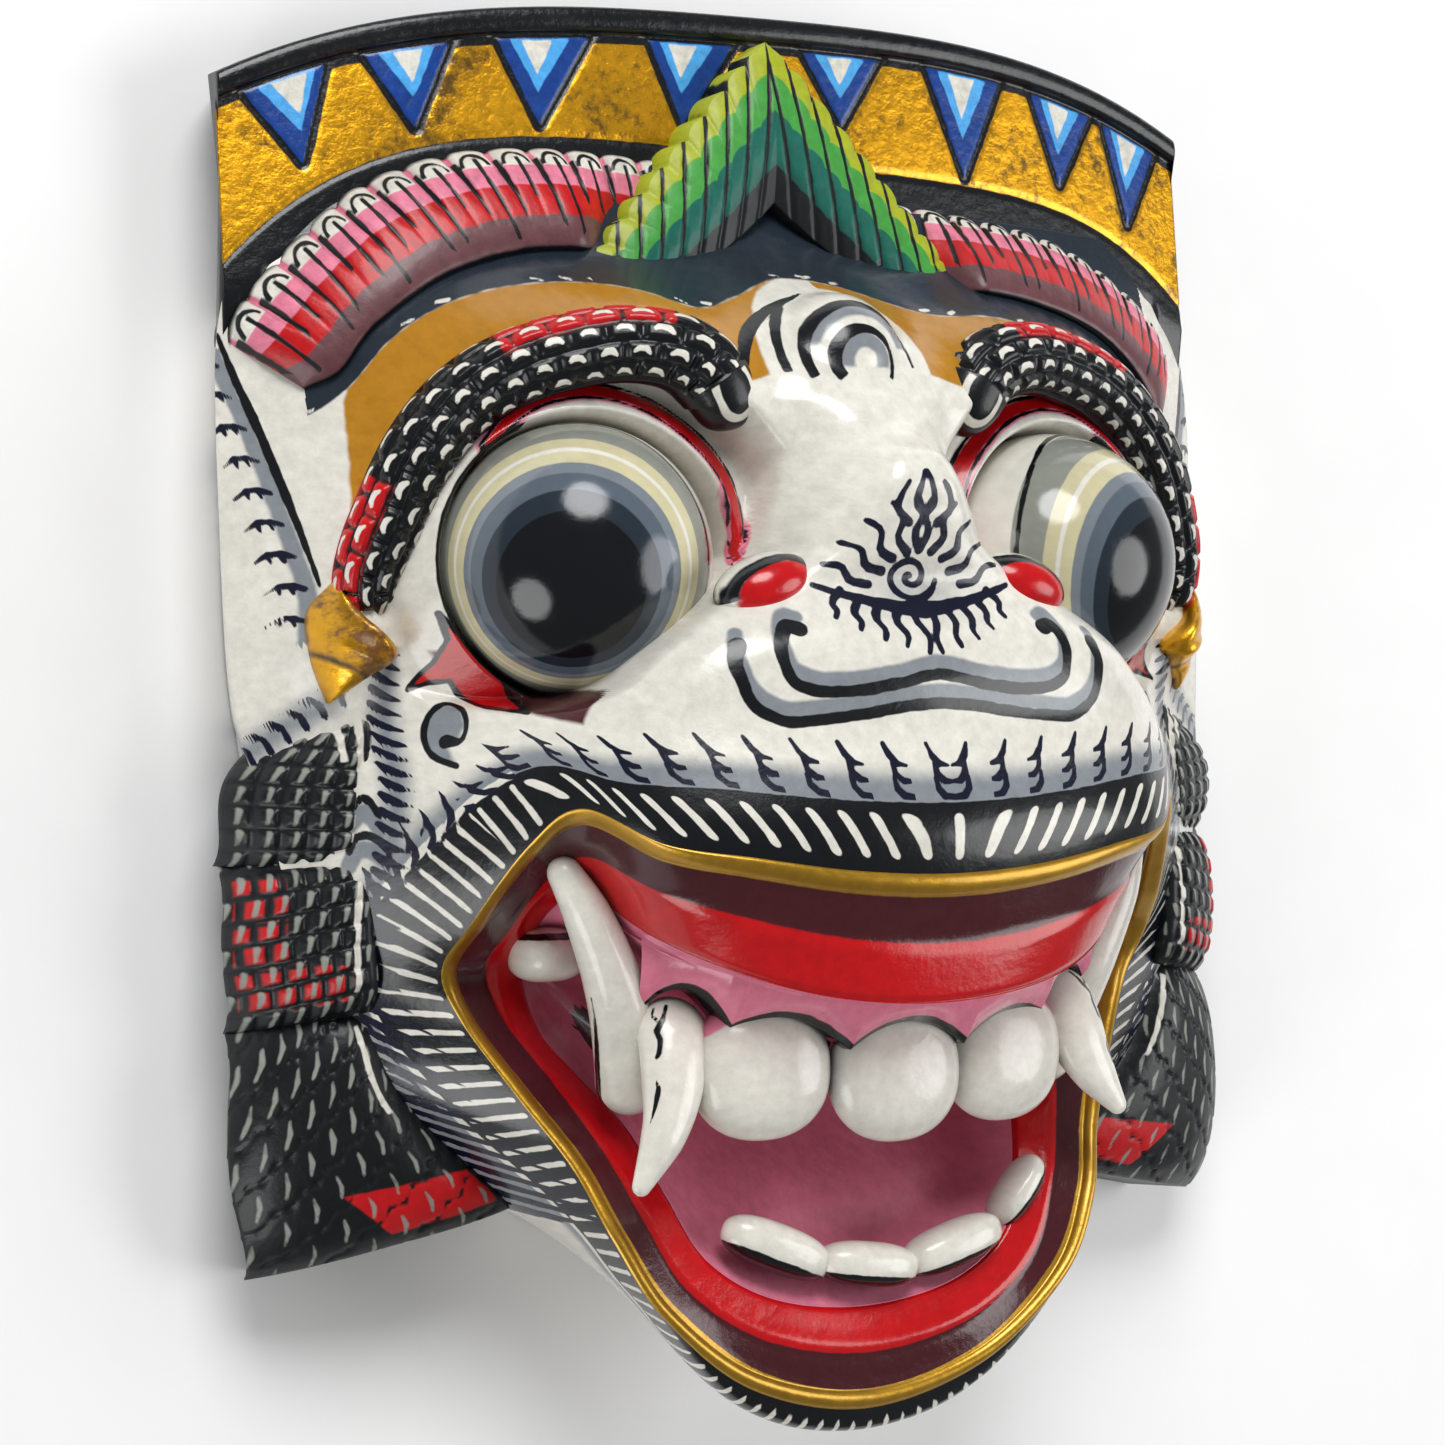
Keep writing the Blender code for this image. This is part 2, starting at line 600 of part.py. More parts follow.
def main():
    """Build the mask in an emptied scene."""
    for obj in list(bpy.data.objects):
        bpy.data.objects.remove(obj)
    home = bpy.data.collections.new("hanuman_mask")
    cutters = bpy.data.collections.new("cutters")
    forms = bpy.data.collections.new("forms")
    for bucket in (home, cutters, forms):
        bpy.context.scene.collection.children.link(bucket)
    make_forms(forms)
    mask = join_forms(forms, "carved_mask", home)
    mask.data.materials.append(painted_wood())
    carve(mask, cutters)


main()
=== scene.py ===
"""Carved and painted wooden mask of Hanuman, the white monkey, lying on its back.

Add-on layout: sizes and colours are properties, each group of like pieces has an operator,
and a panel in the sidebar of the 3D view lists them. Shapes are worked out with numpy in
millimetres, in the part's frame: +X to the viewer's right, +Y up the face, +Z out of it.
Heights y are measured from a line under the eyes, MID_Y below the mask's middle.
Painted shapes are stored on the vertices as depths: how far inside the shape a point lies,
in millimetres. The paint's material lays its colours over each other where they are above 0.
"""
import math

import bpy
import numpy as np
from mathutils import Matrix


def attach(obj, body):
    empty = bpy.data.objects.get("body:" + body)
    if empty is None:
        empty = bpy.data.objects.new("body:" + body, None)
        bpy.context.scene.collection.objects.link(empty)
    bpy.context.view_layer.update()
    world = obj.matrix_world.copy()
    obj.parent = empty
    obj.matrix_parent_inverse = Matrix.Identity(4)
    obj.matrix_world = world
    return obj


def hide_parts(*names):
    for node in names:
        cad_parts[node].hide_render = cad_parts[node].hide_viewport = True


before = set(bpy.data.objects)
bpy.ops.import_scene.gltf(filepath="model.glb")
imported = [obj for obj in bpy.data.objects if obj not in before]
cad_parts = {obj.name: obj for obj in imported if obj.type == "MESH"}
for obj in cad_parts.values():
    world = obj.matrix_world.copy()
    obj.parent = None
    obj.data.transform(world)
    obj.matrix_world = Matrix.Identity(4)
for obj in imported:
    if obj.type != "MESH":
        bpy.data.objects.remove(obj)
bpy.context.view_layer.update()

bl_info = {
    "name": "Hanuman Mask",
    "version": (1, 0, 0),
    "blender": (4, 5, 0),
    "location": "3D View > Sidebar > Mask",
    "description": "Builds a carved and painted wooden monkey mask",
    "category": "Add Mesh",
}

MM = 0.001
NODE = "carved_mask"
MID_Y = 1.52
HALF_WIDTH = 95.0
BACK_SHARE = 1 - 5.5 / HALF_WIDTH
SIDES = ((1, "right"), (-1, "left"))
OUTSIDE = -3.0

# Middle of the forehead's knob, as carved and as painted, and the carved radius
KNOB_Y = 58.0
KNOB_PAINT_Y = 57.6
KNOB_RADIUS = 12.0

# Breathing slot: its middle's height and its half width and half height in the mouth
SLOT_Y = -58.0
SLOT_HALF_WIDTH = 19.0
SLOT_HALF_HEIGHT = 4.0

# Bowls of the back: depth, half width, half height and the height of the middle
FACE_BOWL = (46.0, 66.0, 72.0, 15.0)
CHIN_BOWL = (8.5, 56.0, 34.0, -48.0)

# Camera: turn, lean and roll in degrees, distance in mm and focal length for a 36 mm film
CAMERA_ANGLES = (-28.3, -0.5, -1.5)
CAMERA_DISTANCE = 618.0
CAMERA_LENS = 88.14

# Level sections of the face, from chin to crown: height y, z of the side edge, rise of the
# dome, rise of the muzzle or nose, its half width and how square its shoulders are
SECTIONS = np.array([
    (-120, 10, 12, 30, 55, 8), (-80, 12, 15, 28, 58, 8), (-68, 14, 18, 20, 60, 8),
    (-56, 15, 22, 14, 60, 8), (-44, 15, 25, 15, 60, 8), (-32, 15, 28, 32, 62, 8),
    (-20, 15, 30, 37, 64, 8), (-8, 15, 31, 34, 64, 8), (0, 15, 32, 31, 60, 9),
    (6, 15, 33, 30, 55, 9), (12, 15, 33, 28.5, 48, 9), (17, 15, 33, 25, 40, 9),
    (21, 14.5, 33, 24, 31, 8), (26, 14, 33, 26, 21, 6), (32, 14, 33, 28, 16, 5),
    (38, 14, 33, 28.5, 12.5, 4), (41, 14, 33, 26, 11.5, 3.5), (45, 14, 32.5, 17, 13, 3),
    (52, 14, 32, 8, 19, 3), (66, 13, 30, 1, 30, 4), (80, 12, 18, 0, 30, 4),
    (88, 12, 13, 0, 30, 4)], float)

# Shoulder of the muzzle and nose under the inner side of an eye: distance x from the middle
# and the height y where it drops to the socket
SHOULDER = np.array([
    (0, 70), (12, 52), (16, 38), (20, 26), (25, 22.5), (31, 18), (36, 14.5), (42, 10),
    (48, 4.5), (53, 2), (60, 1.5), (72, 4), (95, 6)], float)

# Rings round the mouth, by stations from the top middle (0) to the bottom middle (14)
LIP_EDGE = np.array([
    (0, -25, 81.7), (17, -24, 80.5), (33, -21.5, 77.5), (46, -19, 72), (55, -13.3, 62),
    (60.5, -19, 54), (65.5, -31, 43), (67.5, -38.5, 35.5), (64, -46.5, 34), (57, -58.5, 39),
    (50, -70.5, 45), (45.5, -82, 50), (38, -94.5, 52), (22, -107.5, 51), (0, -113, 50)], float)
LIP_INNER = np.array([
    (0, -36, 77.6), (17, -34.5, 77), (32, -31, 73.5), (44, -26.5, 66), (51, -21, 55),
    (54, -25, 46), (56, -33, 36), (57, -39.5, 30), (54, -48, 30), (48.5, -57.5, 35),
    (43.5, -68, 42), (39, -79, 47), (32.5, -91, 50), (19, -100, 51.5), (0, -103.5, 51.5)],
    float)
GUM_EDGE = np.array([
    (0, -45.5, 75.7), (17, -44, 74.5), (31, -40, 70), (42, -34, 61), (48, -27, 48),
    (49.5, -30, 38), (50, -35.5, 31), (50, -41, 28), (47, -50, 28), (42, -57, 31),
    (36.5, -66, 38), (33, -76, 43.5), (28, -86.5, 48), (16.5, -93.5, 49.5), (0, -96, 49.5)],
    float)
MOUTH_FLOOR = np.array([
    (0, -52, 64.5), (17, -50, 62.5), (31, -45, 58.5), (41, -39, 53), (44, -34, 42),
    (44, -36, 30), (43, -40, 22), (42, -44, 19.5), (39, -50, 19), (35, -56.5, 21),
    (31, -64, 26), (28, -72, 31), (23, -79, 35), (13, -84, 37), (0, -86, 37.5)], float)
OUTLINE = np.array([
    (0, 87), (34, 88), (66, 87), (86, 84), (94, 66), (95, 35), (94, 5), (88, -25),
    (85, -42), (79, -58), (62, -73), (47, -80), (36, -86), (20, -93), (0, -96)], float)
LAST = len(OUTLINE) - 1

# Width of the black band round the mouth at the same stations
BAND_WIDTHS = np.array([
    11.3, 11.3, 11.3, 11, 9.5, 11.5, 13.5, 14.5, 14.5, 13.5, 12, 10, 10, 12, 13])[:, None]

BROW_LINE = np.array([
    (22.6, 46.5, 49.5), (23.2, 52, 51), (27, 57, 50.5), (33, 59.6, 49.5), (42, 60, 46.5),
    (54, 57, 42.5),
    (63, 51.5, 39.5), (70, 43, 37.5), (74.5, 33, 35), (77.3, 24, 32), (76.6, 17, 30)], float)
CUFF_OUTER = ((82.2, 23.3), (85.4, 18.4), (84.7, 11), (82.1, 4))
CUFF_INNER = ((82.2, 23.3), (78.8, 17.4), (73.4, 11.9), (77.4, 8.1), (82.1, 4))
FANG_LINE = np.array([(35.4, -44, 51), (37, -53, 55.5), (40, -63, 58.5), (46.2, -73.6, 60)], float)
SHORT_FANG = np.array([(35.4, -43, 51), (37.3, -51, 55.5), (40, -59, 58), (45.6, -67.2, 59)], float)
TUSK_LINE = np.array([
    (38, -62, 42), (41, -52, 47), (45, -41, 51), (50, -30, 52.5), (54.5, -21, 51)], float)
# Arches of the upper gum over the teeth: middle x, top y, half width and drop at that width
GUM_ARCHES = ((-36.5, -42.2, 6, 4.6), (-22.4, -47.2, 11.8, 5.2), (0.5, -48.9, 11.8, 5.2),
              (22.8, -48.4, 11.8, 5.2),
              (36.5, -42.2, 6, 4.6))

# Lobes of the lower row of teeth: middle x, y, z, lean in degrees, half width and half height
LOWER_TEETH = ((-16.2, -85.4, 49.5, -23, 10.2, 4.0), (0.3, -89.4, 50.5, -8, 9.2, 3.7),
               (17.2, -87.8, 49.5, 16, 9.6, 3.7),
               (32.2, -80.4, 46.0, 50, 7.0, 2.7))
LOCKS = np.array([
    (((75.6, 5), (75.1, -9), (75.8, -22)), ((79.5, 5.6), (95, -7), (96, -21.4))),
    (((75.8, -20), (76.4, -32), (75.4, -45)), ((95.5, -21.4), (96.5, -35), (95, -48.4))),
    (((77, -43), (70, -60), (50, -79)), ((95, -48.4), (96.5, -70), (92.6, -88.1)))], float)


# Numbers

def through_keys(values, keys, at):
    """Smooth curve through rows of values at rising keys: cubic pieces with matched slopes."""
    at = np.clip(np.asarray(at, float), keys[0], keys[-1])
    width = np.diff(keys)[:, None]
    slope = np.diff(values, axis=0) / width
    tangent = np.concatenate([slope[:1], slope[:1], slope[1:]])[:len(values)]
    tangent[-1] = slope[-1]
    before, after = width[:-1], width[1:]
    tangent[1:-1] = (slope[:-1] * after + slope[1:] * before) / (before + after)
    i = np.clip(np.searchsorted(keys, at, side="right") - 1, 0, len(keys) - 2)
    span = width[i]
    u = (at - keys[i])[..., None] / span
    start = values[i] * (2 * u**3 - 3 * u**2 + 1) + tangent[i] * span * (u**3 - 2 * u**2 + u)
    end = values[i + 1] * (3 * u**2 - 2 * u**3) + tangent[i + 1] * span * (u**3 - u**2)
    return start + end


def through(values, at):
    """Smooth curve through evenly keyed rows of values."""
    values = np.asarray(values, float)
    return through_keys(values, np.arange(len(values), dtype=float), at)


def folded(t):
    """Station of the right half that lies across from station t, or t itself."""
    return np.abs(np.where(t > LAST, 2 * LAST - t, t))


def around(table, t):
    """A ring table read at stations t, which run on past the bottom middle up the left side."""
    flip = np.array([-1.0] + [1.0] * (table.shape[1] - 1)) if table.shape[1] > 1 else 1.0
    padded = np.concatenate([table[2:0:-1] * flip, table, table[-2:-4:-1] * flip])
    points = through_keys(padded, np.arange(len(padded), dtype=float) - 2, folded(t))
    left = (t < 0) | (t > LAST)
    if table.shape[1] > 1:
        points[..., 0] *= np.where(left, -1, 1)
    return points


def ease(low, high, x):
    """Zero below low, one above high, smooth between; low may be the larger."""
    u = np.clip((x - low) / (high - low), 0, 1)
    return u * u * (3 - 2 * u)


def blend_max(a, b, soft):
    """The larger of two heights, rounded over where they are within soft of each other."""
    share = np.clip(0.5 + 0.5 * (a - b) / soft, 0, 1)
    return b + (a - b) * share + soft * share * (1 - share)


def brushed(points, strokes):
    """Depth inside the nearest brush stroke: runs between dabs whose radius blends."""
    flat = points.reshape(-1, points.shape[-1])
    depth = np.full(len(flat), -9.0)
    for path, radius in strokes:
        path = np.asarray(path, float)
        radius = np.broadcast_to(np.asarray(radius, float), len(path))
        low, high = path.min(0) - 3, path.max(0) + 3
        near = np.nonzero(((flat > low) & (flat < high)).all(1))[0]
        if len(near) == 0:
            continue
        spots = flat[near][:, None]
        run = np.diff(path, axis=0)
        share = ((spots - path[:-1]) * run).sum(-1) / np.maximum((run * run).sum(-1), 1e-9)
        share = np.clip(share, 0, 1)
        gap = np.linalg.norm(spots - path[:-1] - share[..., None] * run, axis=-1)
        inside = radius[:-1] + share * np.diff(radius) - gap
        depth[near] = np.maximum(depth[near], inside.max(1))
    return depth.reshape(points.shape[:-1])


def enclosed(x, y, corners):
    """Depth inside a closed outline: distance to its sides, signed by crossings counted."""
    corners = np.asarray(corners, float)
    ahead = np.roll(corners, -1, axis=0)
    shape = np.shape(x)
    spots = np.stack([np.ravel(x), np.ravel(y)], -1)
    gap = np.full(len(spots), np.inf)
    inside = np.zeros(len(spots), bool)
    for start, stop in zip(corners, ahead):
        run = stop - start
        share = np.clip(((spots - start) @ run) / max(run @ run, 1e-9), 0, 1)
        gap = np.minimum(gap, np.linalg.norm(spots - start - share[:, None] * run, axis=1))
        level = (start[1] > spots[:, 1]) != (stop[1] > spots[:, 1])
        rise = run[1] if run[1] else 1e-9
        inside ^= level & (spots[:, 0] < start[0] + run[0] * (spots[:, 1] - start[1]) / rise)
    return np.where(inside, gap, -gap).reshape(shape)


# Forms

def crown_top(x):
    """Height y of the crown's top edge: a flat arch, 15 mm higher in the middle."""
    return 105.5 + 15 * (1 - np.minimum(np.abs(x) / HALF_WIDTH, 1) ** 3.2)


def crown_front(x, y):
    """Height z of the crown panel's front: arched from side to side, leaning a little."""
    return 21 - 9 * (np.abs(x) / HALF_WIDTH) ** 2 + 0.06 * (120.5 - y)


def from_brow(across, y):
    """Distance in the plane of the face from the brow's middle line."""
    line = through(BROW_LINE, np.linspace(0, len(BROW_LINE) - 1, 33))
    nearest = np.full(np.shape(across), np.inf)
    for spot in line:
        nearest = np.minimum(nearest, np.hypot(across - spot[0], y - spot[1]))
    return nearest


def face_height(x, y, eye):
    """Height of the carved face: a dome, the bell of the muzzle and nose, and the sockets."""
    side, dome, muzzle, half, square = np.moveaxis(
        through_keys(SECTIONS[:, 1:], SECTIONS[:, 0], y), -1, 0)
    across = np.abs(x)
    z = side + dome * (1 - (np.minimum(across, HALF_WIDTH) / HALF_WIDTH) ** 2)
    z = z + muzzle / (1 + (across / half) ** square)
    from_knob = np.hypot(across, y - KNOB_Y)
    z = z + 7 * np.exp(-((from_knob / 15) ** 4))
    z = z + 9 * np.exp(-((from_brow(across, y) / 11) ** 2))
    from_eye = np.hypot(across - eye[0], y - eye[1])
    lid = eye[2] + 6.5 - 0.9 * (from_eye - eye[3]) - 0.25 * (across - eye[0])
    near = ease(eye[3] + 13, eye[3] + 6, from_eye)
    shoulder = through_keys(SHOULDER[:, 1:], SHOULDER[:, 0], across)[..., 0]
    open_side = ease(0, 3, y - shoulder)
    z = z + near * open_side * (lid - z)
    hole = open_side * ease(eye[3] + 2.3, eye[3] - 1, from_eye)
    z = z + hole * np.minimum(36.0 - z, 0)
    ball = 46.5 + np.sqrt(np.maximum(KNOB_RADIUS**2 - from_knob**2, 0))
    return np.where(from_knob < KNOB_RADIUS, blend_max(z, ball, 2.0), z)


def face_skin(t, s, eye):
    """Point of the face at station t, a share s of the way from the lip to the outline."""
    lip = around(LIP_EDGE, t)
    out = around(OUTLINE, t)
    fold = folded(t)
    inner = np.clip(s, 0, 1)
    xy = lip[..., :2] + (out - lip[..., :2]) * inner[..., None]
    error = lip[..., 2] - face_height(lip[..., 0], lip[..., 1], eye)
    away = np.linalg.norm(xy - lip[..., :2], axis=-1)
    upper = face_height(xy[..., 0], xy[..., 1], eye) + error * np.exp(-away / 9)
    jaw = 8 + (lip[..., 2] - 8) * np.maximum(1 - inner, 0) ** 0.9
    low = ease(8.2, 10.6, fold)
    swell = 0.8 * np.sin(np.pi * inner) * ease(9.5, 11.5, fold)
    swell = swell + 5.8 * np.sin(np.pi * inner**0.43) * ease(11.8, 13.6, fold)
    way = lip[..., :2] - np.array((0, -70.0))
    way = way / np.linalg.norm(way, axis=-1, keepdims=True)
    xy = xy + way * swell[..., None]
    z = upper * (1 - low) + jaw * low
    below = np.clip((s - 1) / 0.1, 0, 1)
    xy = xy * np.stack([1 - below * (1 - BACK_SHARE), np.ones_like(below)], -1)
    z = z * (1 - below)
    return np.concatenate([xy, z[..., None]], axis=-1)


# Colours of the paints, sRGB
COLOURS = {
    "white": ("White paint", "Aged gloss white of the face and teeth", "#DEDBD1"),
    "black": ("Black paint", "Gloss black of the lip band, brows and hair", "#0D1014"),
    "ink": ("Navy ink", "Blue black line work over the white", "#0F1328"),
    "slate": ("Slate paint", "Dark grey blue under the headband", "#232C36"),
    "grey": ("Grey wash", "Blue grey shading painted beside the lines", "#767E86"),
    "steel": ("Steel grey", "Mid grey ring round the pupil", "#55606B"),
    "pearl": ("Pearl grey", "Grey green outer rings of the eye", "#8D9088"),
    "beige": ("Beige paint", "Cream rings of the eye", "#C9C29D"),
    "red": ("Red paint", "Bright red of the lips and lid lines", "#BE1016"),
    "maroon": ("Maroon paint", "Brown red band inside the gold rim", "#46191F"),
    "mauve": ("Mauve paint", "Dull brown pink at the foot of the fringe", "#694247"),
    "pink": ("Pink paint", "Gums, mouth and second band of the fringe", "#E07F98"),
    "ochre": ("Ochre paint", "Yellow brown of the forehead", "#B27B1C"),
    "gold": ("Gold paint", "Bronze gold of the lip's rim", "#B58A28"),
    "leaf_gold": ("Gold leaf", "Bright leaf on the crown and cuffs", "#E0A41E"),
    "royal": ("Royal blue", "Dark blue of the crown's triangles", "#123E8C"),
    "sky": ("Light blue", "Pale blue inside the triangles", "#4FA9EA"),
    "lime": ("Lime green", "Yellow green edge of the leaf", "#A2AC26"),
    "green": ("Green paint", "Middle band of the leaf", "#43993F"),
    "teal": ("Teal paint", "Dark blue green inner band of the leaf", "#0A6153"),
    "bare_wood": ("Bare wood", "Unpainted carved wood of the back", "#A8794A"),
}

# Sizes of the carved parts, in millimetres
SIZES = {
    "eye_radius": ("Eye radius", "Radius of a bulging eyeball", 22.0),
    "eye_x": ("Eye spacing", "Distance of an eyeball from the middle", 45.0),
    "eye_y": ("Eye height", "Height of the eyeballs on the face", 26.0),
    "eye_z": ("Eye depth", "Height of an eyeball's middle over the back rim", 41.5),
    "brow_radius": ("Brow radius", "Radius of a brow's roll", 6.2),
    "cuff_height": ("Cuff height", "Bulge of the gold cuff at a brow's end", 4.6),
    "leaf_thickness": ("Leaf thickness", "Rise of the leaf over the crown", 7.0),
    "triangle_relief": ("Triangle relief", "Depth of the carving between the triangles", 0.35),
    "incisor_width": ("Incisor width", "Half the width of an upper front tooth", 11.8),
    "fang_radius": ("Fang radius", "Radius of a fang at its root", 6.0),
    "tusk_radius": ("Tusk radius", "Radius of a tusk at its root", 5.6),
    "lip_roll": ("Lip roll", "Rise of the gold roll along the lip's edge", 0.9),
    "scale_relief": ("Scale relief", "Depth of the grooves between scales of hair", 0.9),
    "chisel_mark": ("Chisel mark", "Depth of the gouge marks left on the back", 0.35),
}


def linear(code):
    """Linear RGBA from an sRGB hex code."""
    parts = np.array([int(code[i:i + 2], 16) for i in (1, 3, 5)]) / 255
    parts = np.where(parts <= 0.04045, parts / 12.92, ((parts + 0.055) / 1.055) ** 2.4)
    return (*parts, 1.0)


class MaskSizes(bpy.types.PropertyGroup):
    """Sizes of the carved parts."""
    __annotations__ = {
        key: bpy.props.FloatProperty(
            name=label, description=note, default=value * MM, min=0.0, unit="LENGTH")
        for key, (label, note, value) in SIZES.items()}


class MaskColours(bpy.types.PropertyGroup):
    """Colours of the paints."""
    __annotations__ = {
        key: bpy.props.FloatVectorProperty(
            name=label, description=note, default=linear(code), size=4, subtype="COLOR",
            min=0.0, max=1.0)
        for key, (label, note, code) in COLOURS.items()}


def size(key):
    """A size property in millimetres."""
    return getattr(bpy.context.scene.mask_sizes, key) / MM


def colour(key):
    """A colour property as a linear RGBA tuple."""
    return tuple(getattr(bpy.context.scene.mask_colours, key))


def eye_place():
    """Middle and radius of the right eyeball: x, y, z, radius."""
    return size("eye_x"), size("eye_y"), size("eye_z"), size("eye_radius")


# Meshes

def to_frame(points):
    """Millimetres of the face's own heights turned to metres of the shared frame."""
    return (points - np.array((0, MID_Y, 0))) * MM


def skin(name, points, paint, material, wrap=False, ends=(), inside=None):
    """Mesh over a grid of points, rows by columns, facing away from the point inside.

    wrap joins the last column to the first; ends names rows closed by a fan of triangles.
    paint holds one value a vertex for each painted shape.
    """
    rows, columns = points.shape[:2]
    flat = points.reshape(-1, 3)
    middle = flat.mean(0) if inside is None else np.asarray(inside, float)
    index = np.arange(rows * columns).reshape(rows, columns)
    near = index if wrap else index[:, :-1]
    far = np.roll(index, -1, axis=1) if wrap else index[:, 1:]
    quads = np.stack([near[:-1], far[:-1], far[1:], near[1:]], -1).reshape(-1, 4)
    corners = flat[quads]
    normal = np.cross(corners[:, 2] - corners[:, 0], corners[:, 3] - corners[:, 1])
    facing = (normal * (corners.mean(1) - middle)).sum()
    fans = []
    extra = []
    for row in ends:
        hub = rows * columns + len(extra)
        extra.append(points[row].mean(0))
        first, second = (far[row], near[row]) if row == 0 else (near[row], far[row])
        fans.append(np.stack([first, second, np.full(len(first), hub)], -1))
    if facing < 0:
        quads = quads[:, ::-1]
        fans = [fan[:, ::-1] for fan in fans]
    faces = quads.tolist() + [face for fan in fans for face in fan.tolist()]
    verts = to_frame(np.concatenate([flat, np.array(extra).reshape(-1, 3)]))
    mesh = bpy.data.meshes.new(name)
    mesh.from_pydata(verts.tolist(), [], faces)
    mesh.polygons.foreach_set("use_smooth", np.ones(len(faces), bool))
    for key, values in paint.items():
        values = np.clip(np.broadcast_to(values, (rows, columns)), -900, 900)
        hubs = [float(values[row].mean()) for row in ends]
        layer = mesh.attributes.new(key, "FLOAT", "POINT")
        layer.data.foreach_set("value", np.concatenate([values.ravel(), hubs]).astype(np.float32))
    mesh.materials.append(material)
    obj = bpy.data.objects.new(name, mesh)
    bpy.context.scene.collection.objects.link(obj)
    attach(obj, "root")
    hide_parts(NODE)
    return obj


def run_length(points, axis):
    """Distance run along an axis of a grid of points, from its first row or column."""
    step = np.linalg.norm(np.diff(points, axis=axis), axis=-1)
    start = np.zeros_like(np.take(step, [0], axis=axis))
    return np.concatenate([start, np.cumsum(step, axis=axis)], axis=axis)


def tube(line, radius, steps, turns, flat=1.0):
    """Rings round a smooth line: centre + radius (cos a side + sin a up), ends rounded off.

    Returns the points, the run along the line in mm and the angle a of each column.
    """
    share = np.linspace(0, 1, steps)
    share = 0.5 * share + 0.5 * (0.5 - 0.5 * np.cos(np.pi * share))
    middle = through(line, share * (len(line) - 1))
    run = run_length(middle[:, None], 0)[:, 0]
    girth = np.interp(share, np.linspace(0, 1, len(radius)), radius)
    for gap, end in ((run, girth[0]), (run[-1] - run, girth[-1])):
        girth = girth * np.sqrt(np.maximum(1 - np.clip(1 - gap / end, 0, 1) ** 2, 1e-6))
    ahead = np.gradient(middle, axis=0)
    ahead = ahead / np.linalg.norm(ahead, axis=1, keepdims=True)
    up = np.array((0, 0, 1.0)) - ahead[:, 2:] * ahead
    up = up / np.linalg.norm(up, axis=1, keepdims=True)
    side = np.cross(ahead, up)
    angle = np.linspace(0, 2 * np.pi, turns, endpoint=False)
    wide = np.cos(angle)[None, :, None] * side[:, None]
    high = np.sin(angle)[None, :, None] * up[:, None] * flat
    run, angle = np.broadcast_arrays(run[:, None], angle[None])
    return middle[:, None] + girth[:, None, None] * (wide + high), run, angle


def blob(centre, half, turn, rows, columns, square=2.0, belly=1.0):
    """Rounded block: rows run from the front pole to the back, columns round it.

    Its outline is |cos|^(2/square), |sin|^(2/square); belly below 1 flattens the front.
    """
    down = np.linspace(0.02, np.pi - 0.02, rows)[:, None]
    round_ = np.linspace(0, 2 * np.pi, columns, endpoint=False)[None]
    power = 2 / square
    x = np.sign(np.cos(round_)) * np.abs(np.cos(round_)) ** power
    y = np.sign(np.sin(round_)) * np.abs(np.sin(round_)) ** power
    out = np.sin(down) ** belly
    local = np.stack([half[0] * x * out, half[1] * y * out,
                      half[2] * np.cos(down) * np.ones_like(x)], -1)
    swing = np.array(Matrix.Rotation(turn[1], 3, "Y") @ Matrix.Rotation(turn[0], 3, "X")
                     @ Matrix.Rotation(turn[2], 3, "Z"))
    return np.asarray(centre, float) + local @ swing.T, local


# Paint

def add(tree, kind, settings, inputs):
    """Add a node, set it up, and fill its sockets with values or links."""
    made = tree.nodes.new(kind)
    for key, value in settings.items():
        setattr(made, key, value)
    for key, value in inputs.items():
        if isinstance(value, bpy.types.NodeSocket):
            tree.links.new(value, made.inputs[key])
        else:
            made.inputs[key].default_value = value
    return made.outputs


